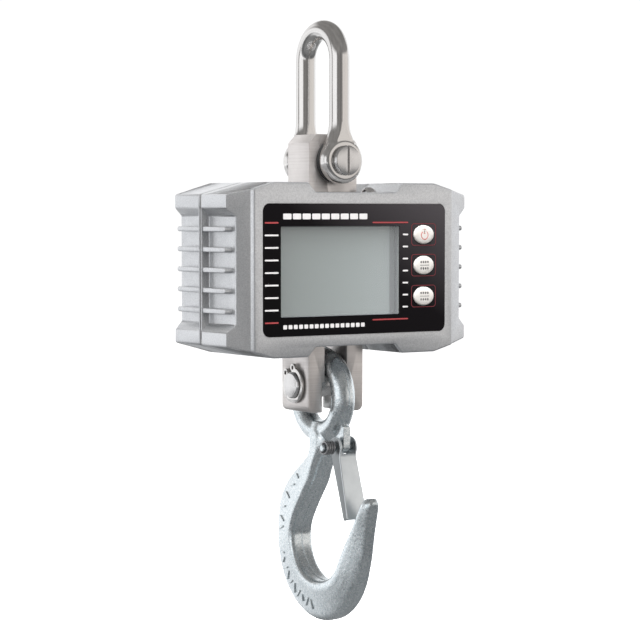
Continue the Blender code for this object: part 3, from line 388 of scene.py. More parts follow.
def axes_of(material):
    """Object coordinates, one output for each axis."""
    split = add(material, "ShaderNodeSeparateXYZ")
    wire(material, place_of(material), split.inputs["Vector"])
    return split.outputs


def grain(material, scale, detail=4.0, stretch=(1, 1, 1), roughness=0.55):
    """A noise pattern's strength."""
    made = add(material, "ShaderNodeTexNoise", Scale=scale, Detail=detail, Roughness=roughness)
    wire(material, place_of(material, stretch), made.inputs["Vector"])
    return made.outputs["Fac"]


def ramp(owner, source, stops):
    """Colours along a value, as (place, colour) pairs."""
    made = add(owner, "ShaderNodeValToRGB")
    band = made.color_ramp
    while len(band.elements) < len(stops):
        band.elements.new(0.5)
    for element, (position, colour) in zip(band.elements, stops):
        element.position = position
        element.color = (*colour, 1.0)
    wire(owner, source, made.inputs["Fac"])
    return made.outputs["Color"]


def shades(material, source, stops):
    """Base colour from a ramp."""
    wire(material, ramp(material, source, stops), shader_of(material).inputs["Base Color"])


def tint(material, source, low, high, near=0.3, far=0.7):
    """Base colour that wanders between two shades."""
    shades(material, source, [(near, low), (far, high)])


def gloss(material, source, low, high):
    """Roughness that wanders between two values."""
    wire(material, rescale(material, source, 0.25, 0.75, low, high),
         shader_of(material).inputs["Roughness"])


def relief(material, source, height, after=None):
    """Bump from a pattern, height in millimetres."""
    made = add(material, "ShaderNodeBump", Strength=1.0, Distance=height * MM)
    wire(material, source, made.inputs["Height"])
    if after:
        wire(material, after, made.inputs["Normal"])
    wire(material, made.outputs["Normal"], shader_of(material).inputs["Normal"])
    return made.outputs["Normal"]


def toned(colour, share):
    """A colour made darker or lighter."""
    return tuple(part * share for part in colour)


def make_housing_paint():
    made = finish("housing_paint", (0.63, 0.64, 0.655), 0.34, 0.84)
    tint(made, grain(made, 1300, 3), (0.57, 0.58, 0.595), (0.69, 0.70, 0.715), 0.35, 0.65)
    gloss(made, grain(made, 300, 3), 0.28, 0.40)
    coarse = relief(made, grain(made, 1100, 4), 0.07)
    relief(made, grain(made, 2600, 2), 0.012, coarse)
    return made


def make_milled_steel():
    made = finish("milled_steel", (0.70, 0.665, 0.645), 0.34, 0.84)
    lines = grain(made, 1.0, 3, (25, 25, 1500))
    tint(made, lines, (0.64, 0.605, 0.585), (0.75, 0.72, 0.705), 0.25, 0.75)
    gloss(made, grain(made, 200, 3), 0.30, 0.42)
    relief(made, lines, 0.008)
    return made


def make_polished_steel():
    made = finish("polished_steel", (0.68, 0.665, 0.65), 0.14, 1.0)
    gloss(made, grain(made, 90, 5), 0.10, 0.20)
    relief(made, grain(made, 120, 4), 0.03)
    return made


def make_turned_steel():
    made = finish("turned_steel", (0.70, 0.69, 0.685), 0.25, 1.0)
    gloss(made, grain(made, 300, 2), 0.22, 0.28)
    return made


def make_zinc_forging():
    made = finish("zinc_forging", (0.68, 0.73, 0.75), 0.27, 1.0)
    tint(made, grain(made, 900, 6), (0.58, 0.65, 0.68), (0.90, 0.935, 0.95), 0.35, 0.65)
    gloss(made, grain(made, 500, 4), 0.20, 0.36)
    coarse = relief(made, grain(made, 420, 5), 0.09)
    relief(made, grain(made, 1500, 4), 0.05, coarse)
    return made


def make_zinc_sheet(name="zinc_sheet", shade=1.0):
    made = finish(name, toned((0.74, 0.78, 0.80), shade), 0.30, 0.9)
    tint(made, grain(made, 150, 4), toned((0.71, 0.75, 0.77), shade), toned((0.77, 0.81, 0.83), shade))
    gloss(made, grain(made, 400, 3), 0.32, 0.42)
    relief(made, grain(made, 900, 2), 0.008)
    return made


def make_spring_wire():
    made = finish("spring_wire", (0.40, 0.40, 0.41), 0.28, 1.0)
    gloss(made, grain(made, 700, 2), 0.26, 0.4)
    return made


def make_screw_steel():
    made = finish("screw_steel", (0.34, 0.34, 0.345), 0.35, 1.0)
    gloss(made, grain(made, 900, 2), 0.28, 0.42)
    relief(made, grain(made, 2500, 2), 0.005)
    return made


def make_rubber(name="black_rubber", shade=0.022):
    grey = (shade, shade, shade)
    made = finish(name, grey, 0.75)
    tint(made, grain(made, 400, 3), toned(grey, 0.8), toned(grey, 1.3))
    relief(made, grain(made, 1800, 2), 0.02)
    return made


def make_film():
    """Black keypad film with painted light: a little lighter towards its upper right corner."""
    made = finish("keypad_film", (0.018, 0.015, 0.018), 0.42, Specular_IOR_Level=0.07)
    axes = axes_of(made)
    # painted light: a ramp that climbs across the film towards its upper right corner
    lean = add(made, "ShaderNodeMath", operation="MULTIPLY_ADD")
    lean.inputs[1].default_value = 0.6
    wire(made, axes["X"], lean.inputs[0])
    wire(made, axes["Z"], lean.inputs[2])
    painted_light = rescale(made, lean.outputs["Value"], (MIDDLE_Z - 60) * MM, (MIDDLE_Z + 75) * MM)
    shades(made, painted_light, [(0.0, (0.003, 0.0025, 0.003)), (0.5, (0.005, 0.004, 0.005)),
                         (1.0, (0.068, 0.061, 0.066))])
    gloss(made, grain(made, 500, 2), 0.38, 0.48)
    relief(made, grain(made, 2500, 2), 0.006)
    return made


def make_print(name, colour):
    made = finish(name, colour, 0.5)
    tint(made, grain(made, 700, 2), toned(colour, 0.94), colour)
    return made


def make_key_cream():
    made = finish("key_cream", (0.77, 0.74, 0.70), 0.42)
    tint(made, grain(made, 300, 3), (0.74, 0.71, 0.67), (0.80, 0.775, 0.735))
    relief(made, grain(made, 1500, 2), 0.01)
    return made


def make_lens():
    made = finish("clear_lens", (0.85, 0.9, 0.88), 0.06, 0.0, Alpha=0.10)
    gloss(made, grain(made, 200, 2), 0.04, 0.08)
    return made


def make_display():
    """Grey-green glass with painted light, lighter to the right, and a darker band down that edge."""
    made = finish("display_glass", (0.29, 0.34, 0.33), 0.35)
    across = rescale(made, axes_of(made)["X"], LENS_LOW.x * MM, LENS_HIGH.x * MM)
    # painted light: the glass grows lighter from left to right
    shades(made, across, [(0.0, (0.135, 0.158, 0.156)), (0.3, (0.185, 0.213, 0.211)),
                          (0.7, (0.26, 0.295, 0.296)), (0.955, (0.32, 0.355, 0.362)),
                          (0.966, (0.19, 0.195, 0.215))])
    gloss(made, grain(made, 900, 2), 0.32, 0.4)
    return made


def make_board():
    made = finish("circuit_board", (0.02, 0.18, 0.07), 0.4)
    cells = add(made, "ShaderNodeTexVoronoi", Scale=220.0, feature="DISTANCE_TO_EDGE")
    wire(made, place_of(made), cells.inputs["Vector"])
    tint(made, cells.outputs["Distance"], (0.015, 0.12, 0.05), (0.03, 0.22, 0.09), 0.02, 0.06)
    relief(made, cells.outputs["Distance"], 0.02)
    return made


def make_plastic(name, colour, roughness=0.5):
    made = finish(name, colour, roughness)
    tint(made, grain(made, 200, 3), toned(colour, 0.9), toned(colour, 1.08))
    relief(made, grain(made, 1600, 2), 0.012)
    return made


def make_contact():
    made = finish("nickel_contact", (0.55, 0.53, 0.48), 0.3, 1.0)
    gloss(made, grain(made, 600, 2), 0.24, 0.36)
    return made


PAINT = make_housing_paint()
MILLED = make_milled_steel()
POLISH = make_polished_steel()
TURNED = make_turned_steel()
ZINC = make_zinc_forging()
SHEET = make_zinc_sheet()
# a darker copy of the sheet finish: painted shade on the latch's side flanges
SHEET_PAINTED_SHADE = make_zinc_sheet("zinc_sheet_painted_shade", 0.42)
WIRE = make_spring_wire()
SCREW = make_screw_steel()
RUBBER = make_rubber()
SEAM_RUBBER = make_rubber("seam_rubber", 0.26)
FILM = make_film()
WHITE_INK = make_print("white_ink", (0.82, 0.80, 0.80))
RED_INK = make_print("red_ink", (0.42, 0.055, 0.06))
FRAME_INK = make_print("key_frame_ink", (0.16, 0.018, 0.025))
KEY_RED = make_print("key_red_ink", (0.60, 0.11, 0.09))
KEY_GREY = make_print("key_grey_ink", (0.20, 0.19, 0.185))
CREAM = make_key_cream()
LENS = make_lens()
DISPLAY = make_display()
BOARD = make_board()
DARK_PLASTIC = make_plastic("dark_plastic", (0.05, 0.05, 0.052))
BEZEL = make_plastic("grey_bezel", (0.17, 0.17, 0.20))
JACKET = make_plastic("battery_jacket", (0.05, 0.07, 0.14), 0.3)
CONTACT = make_contact()


# ---- shackle ----
SHAFT_CUT = SCREW_PIN_R + GAP
# radius of the dark discs that paint the shadow behind the bow's eyes
SHADOW_WASHER_R = EYE_R - 0.9
NECK_HALF = STOCK / 2 + 0.02
DRIVE_SLOT = 1.6
DRIVE_DEPTH = 1.5


def make_bow():
    """The D: a round bar up, over and down, necked into an eye at each end."""
    bm = bmesh.new()
    rise = BOW_Z - PIN_Z
    edges = hoop(bm, (0, -LEG_Y, PIN_Z), STOCK / 2, 44)[1]
    edges = draw_on(bm, edges, (0, 0, rise))
    edges = swing_on(bm, edges, (0, 0, BOW_Z), (-1, 0, 0), math.pi, 56)
    draw_on(bm, edges, (0, 0, -rise))
    bow = put("shackle_bow_bar", close_ends(bm), POLISH)
    for side in (-1, 1):
        # each eye stops short of the block, leaving room for a dark disc of painted shadow
        low, high = sorted((side * (EYE_IN + SHADOW_WASHER_T), side * EYE_OUT))
        join(bow, bow_neck(side))
        join(bow, turned(rounded_disc(low, high, EYE_R, 3.0), "Y", (0, PIN_Z), 72))
    cut(bow, rod("Y", (0, PIN_Z), SHAFT_CUT, -EYE_OUT - 1, EYE_OUT + 1, 56))
    fit(bow, "shackle", "polish", "shackle_bow")


def make_shadow_washers():
    """Dark discs shaped as spacer washers, which paint the shadow between the bow's eyes and the
    block.
    """
    for name, side in (("front_shadow_washer", -1), ("back_shadow_washer", 1)):
        low, high = sorted((side * EYE_IN, side * (EYE_IN + SHADOW_WASHER_T)))
        disc = put(name, turned(rounded_disc(low, high, SHADOW_WASHER_R, 0.5), "Y", (0, PIN_Z), 72), RUBBER)
        cut(disc, rod("Y", (0, PIN_Z), SHAFT_CUT, -EYE_OUT, EYE_OUT, 56))
        fit(disc, "shackle", "rubber")


def bow_neck(side):
    """The leg's flare into its eye: wider across, and no thicker than the eye."""
    flare = [(6.0, 0.0), (6.0, 10.6), (9.0, 9.6), (12.0, 8.4), (15.0, 7.3), (18.0, 6.5),
             (22.0, 6.05), (26.0, 5.9), (26.0, 0.0)]
    bm = turned([(PIN_Z + t, r) for t, r in flare], "Z", (0, side * LEG_Y), 48)
    for vert in bm.verts:
        out = vert.co.y - side * LEG_Y
        vert.co.y = side * LEG_Y + min(max(out, -NECK_HALF), NECK_HALF)
    return bm


def make_screw_pin():
    """The shackle's screw pin: a slotted cheese head, a plain shank and a chamfered tail."""
    face = HEAD_FACE
    tail = HEAD_HIGH.y
    edge = 0.9
    profile = [(face, 0.0), (face, HEAD_R - edge), (face + 0.25, HEAD_R - 0.35),
               (face + edge, HEAD_R), (face + HEAD_T - 0.3, HEAD_R), (face + HEAD_T, HEAD_R - 0.3),
               (face + HEAD_T, SCREW_PIN_R), (tail - edge, SCREW_PIN_R), (tail, SCREW_PIN_R - edge),
               (tail, 0.0)]
    pin = put("shackle_screw_pin", turned(profile, "Y", (0, PIN_Z), 72), TURNED)
    cut(pin, block((-DRIVE_SLOT / 2, DRIVE_SLOT / 2), (face - 2, face + DRIVE_DEPTH),
                   (PIN_Z - HEAD_R - 1, PIN_Z + HEAD_R + 1)))
    fit(pin, "shackle", "polish", "shackle_pin")


# ---- load cell ----
CLEVIS_SHOULDER = -37.0
SLOT_HALF = RING_BAR_R + 0.85
SLOT_FLARE = 2.5
SLOT_MOUTH = 5.0
SLOT_ROOF = -44.8
LUG_CHAMFER = 5.0
LUG_X = 17.0
LUG_Y = 11.5


def slot_outline():
    """The slot that takes the hook's eye, with a rounded roof."""
    corner = 1.4
    left = [(-SLOT_HALF, CELL_LOW.z - 2), (-SLOT_HALF, SLOT_ROOF - corner)]
    left += arc((-SLOT_HALF + corner, SLOT_ROOF - corner), corner, 180, 90, 5)[1:]
    return left + [(-x, z) for x, z in reversed(left)]


def slot_mouth(side):
    """The wedge that opens the slot towards one face, from the pin's level down."""
    face, deep = side * (CELL_HIGH.y + 1.0), side * (CELL_HIGH.y - SLOT_MOUTH)
    wide = SLOT_HALF + SLOT_FLARE
    shape = [(-wide, face), (wide, face), (SLOT_HALF - 0.5, deep), (-SLOT_HALF + 0.5, deep)]
    return slab(shape, "Z", CELL_LOW.z - 2, HOOK_PIN_Z + 2.0)


def make_cell():
    """The block: a chamfered lug above, and below it a slotted clevis for the hook's eye."""
    top, c = CELL_HIGH.z, LUG_CHAMFER
    lug = [(-LUG_X, CLEVIS_SHOULDER - 1), (LUG_X, CLEVIS_SHOULDER - 1), (LUG_X, top - c),
           (LUG_X - c, top), (-LUG_X + c, top), (-LUG_X, top - c)]
    cell = put("load_cell_block", slab(lug, "Y", -LUG_Y, LUG_Y), MILLED)
    clevis = rounded(CELL_LOW.x, CELL_HIGH.x, CELL_LOW.z, CLEVIS_SHOULDER, 4.0)
    join(cell, slab(clevis, "Y", CELL_LOW.y, CELL_HIGH.y))
    cut(cell, slab(slot_outline(), "Y", -40, 40))
    for side in (-1, 1):
        cut(cell, slot_mouth(side))
    cut(cell, rod("Y", (0, PIN_Z), SCREW_PIN_R + RUN_GAP, -20, 20, 48))
    cut(cell, rod("X", (0, HOOK_PIN_Z), HOOK_PIN_R + RUN_GAP / 2, -40, 40, 64))
    soften(cell, 0.5, 2, 40)
    fit(cell, "scale_body", "steel", "load_cell")


# ---- housing ----
def half_form(side):
    """One half: an octagon drawn out from the seam, its ends leaning in to the plate."""
    outline = [(CASE_X, CASE_Z), (CROWN_X, CROWN_Z), (-CROWN_X, CROWN_Z), (-CASE_X, CASE_Z)]
    outline += [(x, -z) for x, z in reversed(outline)]
    bm = bmesh.new()
    face = bm.faces.new([bm.verts.new((x, side * SEAM, z)) for x, z in outline])
    made = [face]
    level = SEAM
    for y, x, z in ((CASE_Y, CASE_X, CASE_Z), (STEP_Y, STEP_X, STEP_Z), (PLATE_Y, PLATE_X, PLATE_Z)):
        made = bmesh.ops.extrude_face_region(bm, geom=made)["geom"]
        verts = [item for item in made if isinstance(item, bmesh.types.BMVert)]
        bmesh.ops.translate(bm, verts=verts, vec=(0, side * (y - level), 0))
        level = y
        for vert in verts:
            if abs(vert.co.x) > CROWN_X + 1:
                vert.co.x = math.copysign(x, vert.co.x)
                vert.co.z = math.copysign(z, vert.co.z)
        made = [item for item in made if isinstance(item, bmesh.types.BMFace)]
    bmesh.ops.dissolve_degenerate(bm, dist=0.001, edges=bm.edges)
    weight = bm.edges.layers.float.new("bevel_weight_edge")
    for edge in bm.edges:
        edge[weight] = edge_weight(edge, side)
    bmesh.ops.recalc_face_normals(bm, faces=bm.faces)
    return bm


def edge_weight(edge, side):
    """How much of the cheek's rounding an edge of the half form gets."""
    a, b = (v.co for v in edge.verts)
    if max(abs(a.y), abs(b.y)) < SEAM + 0.1:
        return 0.0
    upright = abs(a.x - b.x) < 0.1 and abs(a.y - b.y) < 0.1
    if upright and abs(a.y) > PLATE_Y - 0.1:
        return 0.24
    if max(abs(a.y), abs(b.y)) < STEP_Y + 0.1 < PLATE_Y and min(abs(a.y), abs(b.y)) > CASE_Y + 0.1:
        return 0.12
    return 0.32


def notch_outline(sign):
    """The channel for the load cell, seen from the front."""
    far = CROWN_Z + 5.0
    slope = NOTCH_SLOPE * (far - NOTCH_FLOOR) / (CROWN_Z - NOTCH_FLOOR)
    right = [(NOTCH_X, sign * NOTCH_FLOOR), (NOTCH_X + slope, sign * far)]
    return [(-x, z) for x, z in right] + list(reversed(right))


def grip_outline(end):
    """The finger recess at one end, seen from the front, with sloped ends."""
    floor, out = CASE_X - GRIP_DEPTH, CASE_X + 3.0
    rise = GRIP_SLOPE * (out - floor) / GRIP_DEPTH
    return [(end * floor, -GRIP_Z), (end * floor, GRIP_Z), (end * out, GRIP_Z + rise),
            (end * out, -GRIP_Z - rise)]


def rib(side, end, z):
    """One rib of the grip: a tongue with a round front end and soft edges."""
    start, tip, r = GRIP_START - 0.6, RIB_END, RIB_T / 2
    outline = [(side * start, z - r)] + [(side * y, zz) for y, zz in arc((tip - r, z), r, -90, 90, 8)]
    outline.append((side * start, z + r))
    low, high = sorted((end * (CASE_X - GRIP_DEPTH - 1.0), end * (CASE_X - 0.35)))
    bm = slab(outline, "X", low, high)
    rims = [e for e in bm.edges if all(abs(abs(v.co.x) - CASE_X + 0.35) < 0.01 for v in e.verts)]
    bmesh.ops.bevel(bm, geom=rims, offset=0.7, segments=3, profile=0.5, affect="EDGES",
                    material=-1)
    return bm


def cavity_outline(limit):
    """The room inside a half, no wider than a limit."""
    mouth, high = NOTCH_FLOOR - WALL, CROWN_Z - WALL
    ledge = NOTCH_X + NOTCH_SLOPE + WALL
    corner = [(ledge - NOTCH_SLOPE, mouth), (ledge, high), (CROWN_X - 1, high),
              (CASE_X - SIDE_WALL, CASE_Z - WALL)]
    corner = [(min(x, limit), z) for x, z in corner]
    right = corner + [(x, -z) for x, z in reversed(corner)]
    return right + [(-x, z) for x, z in reversed(right)]


def make_half(name, side):
    half = put(name, half_form(side), PAINT)
    rounds = half.modifiers.new("Cheeks", "BEVEL")
    rounds.width = CHEEK_ROUND * MM
    rounds.segments = 5
    rounds.limit_method = "WEIGHT"
    settle(half)
    for sign in (-1, 1):
        cut(half, slab(notch_outline(sign), "Y", -60, 60))
    for end in (-1, 1):
        near, far = sorted((side * GRIP_START, side * (PLATE_Y + 5)))
        cut(half, slab(grip_outline(end), "Y", near, far))
    soften(half, SOFT_EDGE, 3, 28)
    ribs = [rib(side, end, (k - (RIB_COUNT - 1) / 2) * RIB_PITCH)
            for end in (-1, 1) for k in range(RIB_COUNT)]
    join(half, gather(ribs))
    cut(half, slab(cavity_outline(CASE_X), "Y", *sorted((-side, side * (CASE_Y - WALL)))))
    cut(half, slab(cavity_outline(PLATE_X - WALL - 1.5), "Y",
                   *sorted((-side, side * (PLATE_Y - WALL)))))
    openings = ((LUG_X, LUG_Y, 1), (CELL_HIGH.x, CELL_HIGH.y, -1))
    for x, y, sign in openings:
        low, high = sorted((sign * (NOTCH_FLOOR - WALL - 2), sign * (NOTCH_FLOOR + 2)))
        room = SEAL_ROOM
        cut(half, block((-x - room, x + room), (-y - room, y + room), (low, high)))
    return half


def key_middles():
    """Each key's name and the place of its middle."""
    return [(name, *middle_of(f"button_{name}")) for name in ("top", "middle", "bottom")]


KEY_RX = 7.3
KEY_RZ = 5.5
RECESS = 0.5


def make_front_half():
    half = make_half("front_half", -1)
    edge, face = GAP, -PLATE_Y
    bed = rounded(FILM_LOW.x - edge, FILM_HIGH.x + edge, FILM_LOW.z - edge, FILM_HIGH.z + edge,
                  FILM_ROUND + edge)
    cut(half, slab(bed, "Y", face - 2, face + RECESS))
    cut(half, block((LENS_LOW.x - edge, LENS_HIGH.x + edge), (face - 2, face + WALL + 2),
                    (LENS_LOW.z - edge, LENS_HIGH.z + edge)))
    for _, x, z in key_middles():
        hole = ellipse((x, z), KEY_RX + GAP, KEY_RZ + GAP)
        cut(half, slab(hole, "Y", face - 2, face + WALL + 2))
    fit(half, "scale_body", "cast", "front_shell", smooth=32)


def case_screw_places():
    """Each case screw's name, the place of its middle, and its two ends."""
    for number in range(1, 5):
        name = f"case_screw_{number}"
        low, high = span(name)
        yield (name, *middle_of(name), low.y, high.y)


DOOR_RIM = 2.2
BATTERY_WELL = 8.0
SCREW_SINK_R = 3.65


def make_rear_half():
    half = make_half("rear_half", 1)
    rim = DOOR_RIM
    join(half, block((DOOR_LOW.x - rim, DOOR_HIGH.x + rim), (DOOR_LOW.y - rim, PLATE_Y - 1),
                     (DOOR_LOW.z - rim, DOOR_HIGH.z + rim)))
    bed = rounded(DOOR_LOW.x - GAP, DOOR_HIGH.x + GAP, DOOR_LOW.z - GAP, DOOR_HIGH.z + GAP, 3.3)
    cut(half, slab(bed, "Y", DOOR_LOW.y - GAP, PLATE_Y + 2))
    well = BATTERY_WELL
    cut(half, block((DOOR_LOW.x + well, DOOR_HIGH.x - well), (DOOR_LOW.y - 5, PLATE_Y + 2),
                    (DOOR_LOW.z + 3, DOOR_HIGH.z - 3)))
    for _, x, z, _, _ in case_screw_places():
        cut(half, rod("Y", (x, z), SCREW_SINK_R, CASE_Y - 1.5, PLATE_Y + 5, 36))
    fit(half, "scale_body", "cast", "rear_shell", smooth=32)


def cross_recess(x, z, face, size, depth):
    """Cutters for a cross drive: two crossed bars."""
    return [block((x - wide, x + wide), (face - depth, face + 1.0), (z - tall, z + tall))
            for wide, tall in ((size, size * 0.24), (size * 0.24, size))]


def make_door():
    door = put("battery_lid", slab(rounded(DOOR_LOW.x, DOOR_HIGH.x, DOOR_LOW.z, DOOR_HIGH.z, 3.0),
                                   "Y", DOOR_LOW.y, DOOR_HIGH.y), PAINT)
    soften(door, 0.5, 3, 40)
    for name in ("door_screw_left", "door_screw_right"):
        low, high = span(name)
        x, z = middle_of(name)
        cut(door, rod("Y", (x, z), 1.75, DOOR_LOW.y - 1, PLATE_Y + 1, 28))
        cut(door, rod("Y", (x, z), 3.1, PLATE_Y - 1.5, PLATE_Y + 1, 36))
        make_screw(name, x, z, low.y, high.y, 1.5, 2.8, 1.0)
    for number in range(-3, 4):
        x = 4.0 * number
        groove = rounded(x - 0.8, x + 0.8, -7.0, 7.0, 0.79, 5)
        cut(door, slab(groove, "Y", PLATE_Y - 0.6, PLATE_Y + 1))
    fit(door, "scale_body", "cast", "battery_door", smooth=32)


def make_screw(name, x, z, low, high, shank, head, head_t):
    """A pan-head screw that faces the rear, with a cross recess."""
    profile = [(low, 0.0), (low, shank - 0.3), (low + 0.5, shank), (high - head_t, shank),
               (high - head_t, head), (high - 0.5, head), (high - 0.12, head - 0.45), (high, 0.0)]
    screw = put(name + "_crossed", turned(profile, "Y", (x, z), 36), SCREW)
    for bar in cross_recess(x, z, high, head * 0.55, head_t * 0.6):
        cut(screw, bar)
    fit(screw, "scale_body", "spring", name)


def make_case_screws():
    for name, x, z, low, high in case_screw_places():
        make_screw(name, x, z, low, high, 1.8, 3.4, 2.4)


LEDGE_SCREW = (20.9, -18.4)
LEDGE_HEAD_R = 4.4
LEDGE_HEAD_T = 3.2


def make_ledge_screw():
    """A pan head on the notch's ledge, beside the block's right shoulder."""
    (x, y), r = LEDGE_SCREW, LEDGE_HEAD_R
    low, high = NOTCH_FLOOR - 0.5, NOTCH_FLOOR + LEDGE_HEAD_T
    head = [(low, 0.0), (low, r), (low + 1.4, r), (low + 2.2, r - 0.5), (low + 3.0, r - 1.6)]
    head += [(high, 1.6), (high, 0.0)]
    piece = put("ledge_screw", turned(head, "Z", (x, y), 40), TURNED)
    cut(piece, block((x - 3.0, x + 3.0), (y - 0.5, y + 0.5), (high - 1.0, high + 1)))
    fit(piece, "scale_body", "spring")


# ---- keypad film, print and keys ----
def make_keypad_film():
    film = put("keypad_film_sheet", slab(rounded(FILM_LOW.x, FILM_HIGH.x, FILM_LOW.z, FILM_HIGH.z,
                                                 FILM_ROUND, 14), "Y", FILM_LOW.y, FILM_HIGH.y),
               FILM)
    cut(film, slab(rounded(LENS_LOW.x - GAP, LENS_HIGH.x + GAP, LENS_LOW.z - GAP,
                           LENS_HIGH.z + GAP, 0.8, 4), "Y", -50, 0))
    for _, x, z in key_middles():
        cut(film, slab(ellipse((x, z), KEY_RX + GAP, KEY_RZ + GAP), "Y", -50, 0))
    fit(film, "scale_body", "overlay", "keypad_overlay")


INK_T = 0.06
TICK_PITCH = 7.12
TICK_TOP = 19.9
TICK_COUNT = 7
TICK_T = 0.95
LEFT_TICKS = (-63.4, -54.2)
RIGHT_TICKS = (33.0, 36.9)
RED_START = 11.2     # left end of the red lines beside the right ticks
BAND_LEFT = -51.0
KEY_FRAME_X = 18.1
KEY_FRAME_Z = 13.2


def ink(outlines, name, material):
    """Print on the film: thin raised patches."""
    face = FILM_LOW.y
    patches = [slab(outline, "Y", face - INK_T, face + 0.02) for outline in outlines]
    fit(put(name, gather(patches), material), "scale_body", "keycap")


def dash(left, right, z, thick):
    """A round-ended stroke's outline."""
    return rounded(left, right, z - thick / 2, z + thick / 2, thick * 0.45, 4)


def ring_patches(x, z, wide, tall, line, corner):
    """A rounded rectangle's outline as four bars and four quarter rings."""
    out_x, out_z = wide / 2, tall / 2
    in_x, in_z = out_x - corner, out_z - corner
    bars = [dash_box(x - in_x, x + in_x, z + out_z - line, z + out_z),
            dash_box(x - in_x, x + in_x, z - out_z, z - out_z + line),
            dash_box(x - out_x, x - out_x + line, z - in_z, z + in_z),
            dash_box(x + out_x - line, x + out_x, z - in_z, z + in_z)]
    quarters = []
    for sx, sz, start in ((1, 1, 0), (-1, 1, 90), (-1, -1, 180), (1, -1, 270)):
        middle = (x + sx * in_x, z + sz * in_z)
        outer = arc(middle, corner, start, start + 90, 6)
        inner = arc(middle, corner - line, start + 90, start, 6)
        quarters.append(outer + inner)
    return bars + quarters


def dash_box(left, right, bottom, top):
    return [(left, bottom), (right, bottom), (right, top), (left, top)]


def make_print_marks():
    """Ticks, red lines, a frame round each key, and two plain bands."""
    heights = [TICK_TOP - TICK_PITCH * k for k in range(TICK_COUNT)]
    ticks = [dash(*ends, z, TICK_T) for ends in (LEFT_TICKS, RIGHT_TICKS) for z in heights]
    ink(ticks, "white_ticks", WHITE_INK)
    edges = (TICK_TOP + TICK_PITCH, TICK_TOP - TICK_PITCH * TICK_COUNT)
    lines = [dash(*LEFT_TICKS, z, 0.9) for z in edges]
    lines += [dash(RED_START, RIGHT_TICKS[1], z, 0.75) for z in edges]
    ink(lines, "red_lines", RED_INK)
    frames = []
    for _, x, z in key_middles():
        frames += ring_patches(x, z, KEY_FRAME_X, KEY_FRAME_Z, 0.42, 2.0)
    ink(frames, "key_frames", FRAME_INK)
    ink(plain_band(BAND_LEFT, 30.6, 3.3, 5.6, 1.0, 9), "upper_plain_band", WHITE_INK)
    ink(plain_band(BAND_LEFT, -32.6, 2.4, 2.6, 1.0, 16), "lower_plain_band", WHITE_INK)


def plain_band(left, z, tall, wide, space, count):
    """A row of plain equal blocks where a maker would print a name or a size."""
    starts = [left + k * (wide + space) for k in range(count)]
    return [rounded(x, x + wide, z - tall / 2, z + tall / 2, 0.5, 3) for x in starts]


def make_key(name, x, z):
    """A moulded cap: an ellipse drawn out, its front crowned in three steps."""
    low, high = span(f"button_{name}")
    front, foot = low.y, high.y
    bm = slab(ellipse((x, z), KEY_RX, KEY_RZ), "Y", front + 0.9, foot)
    face = min(bm.faces, key=lambda f: f.calc_center_median().y)
    for inset, rise in ((0.25, 0.45), (0.6, 0.3), (2.0, 0.15)):
        bmesh.ops.inset_region(bm, faces=[face], thickness=inset, use_even_offset=True)
        bmesh.ops.translate(bm, verts=face.verts, vec=(0, -rise, 0))
    cap = put(f"key_cap_{name}", bm, CREAM)
    join(cap, slab(ellipse((x, z), KEY_RX + 1.2, KEY_RZ + 1.2), "Y", foot - 1.2, foot))
    fit(cap, f"button_{name}", "keycap", f"button_{name}", smooth=40)


def key_ink(name, outlines, material):
    low, _ = span(f"button_{name}")
    patches = [slab(outline, "Y", low.y - INK_T, low.y + 0.05) for outline in outlines]
    fit(put(f"key_mark_{name}", gather(patches), material), f"button_{name}", "keycap")


def make_keys():
    places = {name: (x, z) for name, x, z in key_middles()}
    for name, (x, z) in places.items():
        make_key(name, x, z)
    x, z = places["top"]
    loop = arc((x, z - 0.4), 2.7, 125, 415, 22) + arc((x, z - 0.4), 2.25, 415, 125, 22)
    key_ink("top", [loop, dash(x - 0.22, x + 0.22, z + 1.9, 2.9)], KEY_RED)
    for name in ("middle", "bottom"):
        x, z = places[name]
        rows = [dash(x - 3.4, x + 3.4, z, 0.35)]
        for k in range(4):
            left = x - 3.1 + 1.65 * k
            rows.append(dash(left, left + 1.1, z + 1.9, 1.5))
            rows.append(dash(left, left + 1.1, z - 1.9, 1.5))
        key_ink(name, rows, KEY_GREY)


def make_lens_plate():
    plate = put("display_lens", slab(rounded(LENS_LOW.x, LENS_HIGH.x, LENS_LOW.z, LENS_HIGH.z,
                                             0.6, 4), "Y", LENS_LOW.y, LENS_HIGH.y), LENS)
    fit(plate, "scale_body", "lens", "display_window")


# ---- hook pin and clips ----
CLIP_R = 10.6
CLIP_MIDDLE = 66.0   # middle of the opening, in degrees from the rear upwards
CLIP_OPENING = 32.0
LUG_TURN = 24.0
CLIP_LUG_R = 2.5
CLIP_HOLE_R = 1.1
GROOVE_DEPTH = 0.8


def make_hook_pin():
    """A plain pin with chamfered ends and a groove for each circlip."""
    end, r, c = PIN_HIGH.x, HOOK_PIN_R, 0.9
    low, high = span("circlip_right")
    near, far = low.x - 0.2, high.x + 0.2
    half = [(0.0, r), (near, r), (near, r - GROOVE_DEPTH), (far, r - GROOVE_DEPTH), (far, r),
            (end - c, r), (end - 0.2, r - 0.55), (end, r - 1.1), (end, 0.0)]
    profile = [(-t, radius) for t, radius in reversed(half)] + half[1:]
    pin = put("hook_cross_pin", turned(profile, "X", (0, HOOK_PIN_Z), 72), TURNED)
    fit(pin, "hook_pin", "polish", "hook_pin")


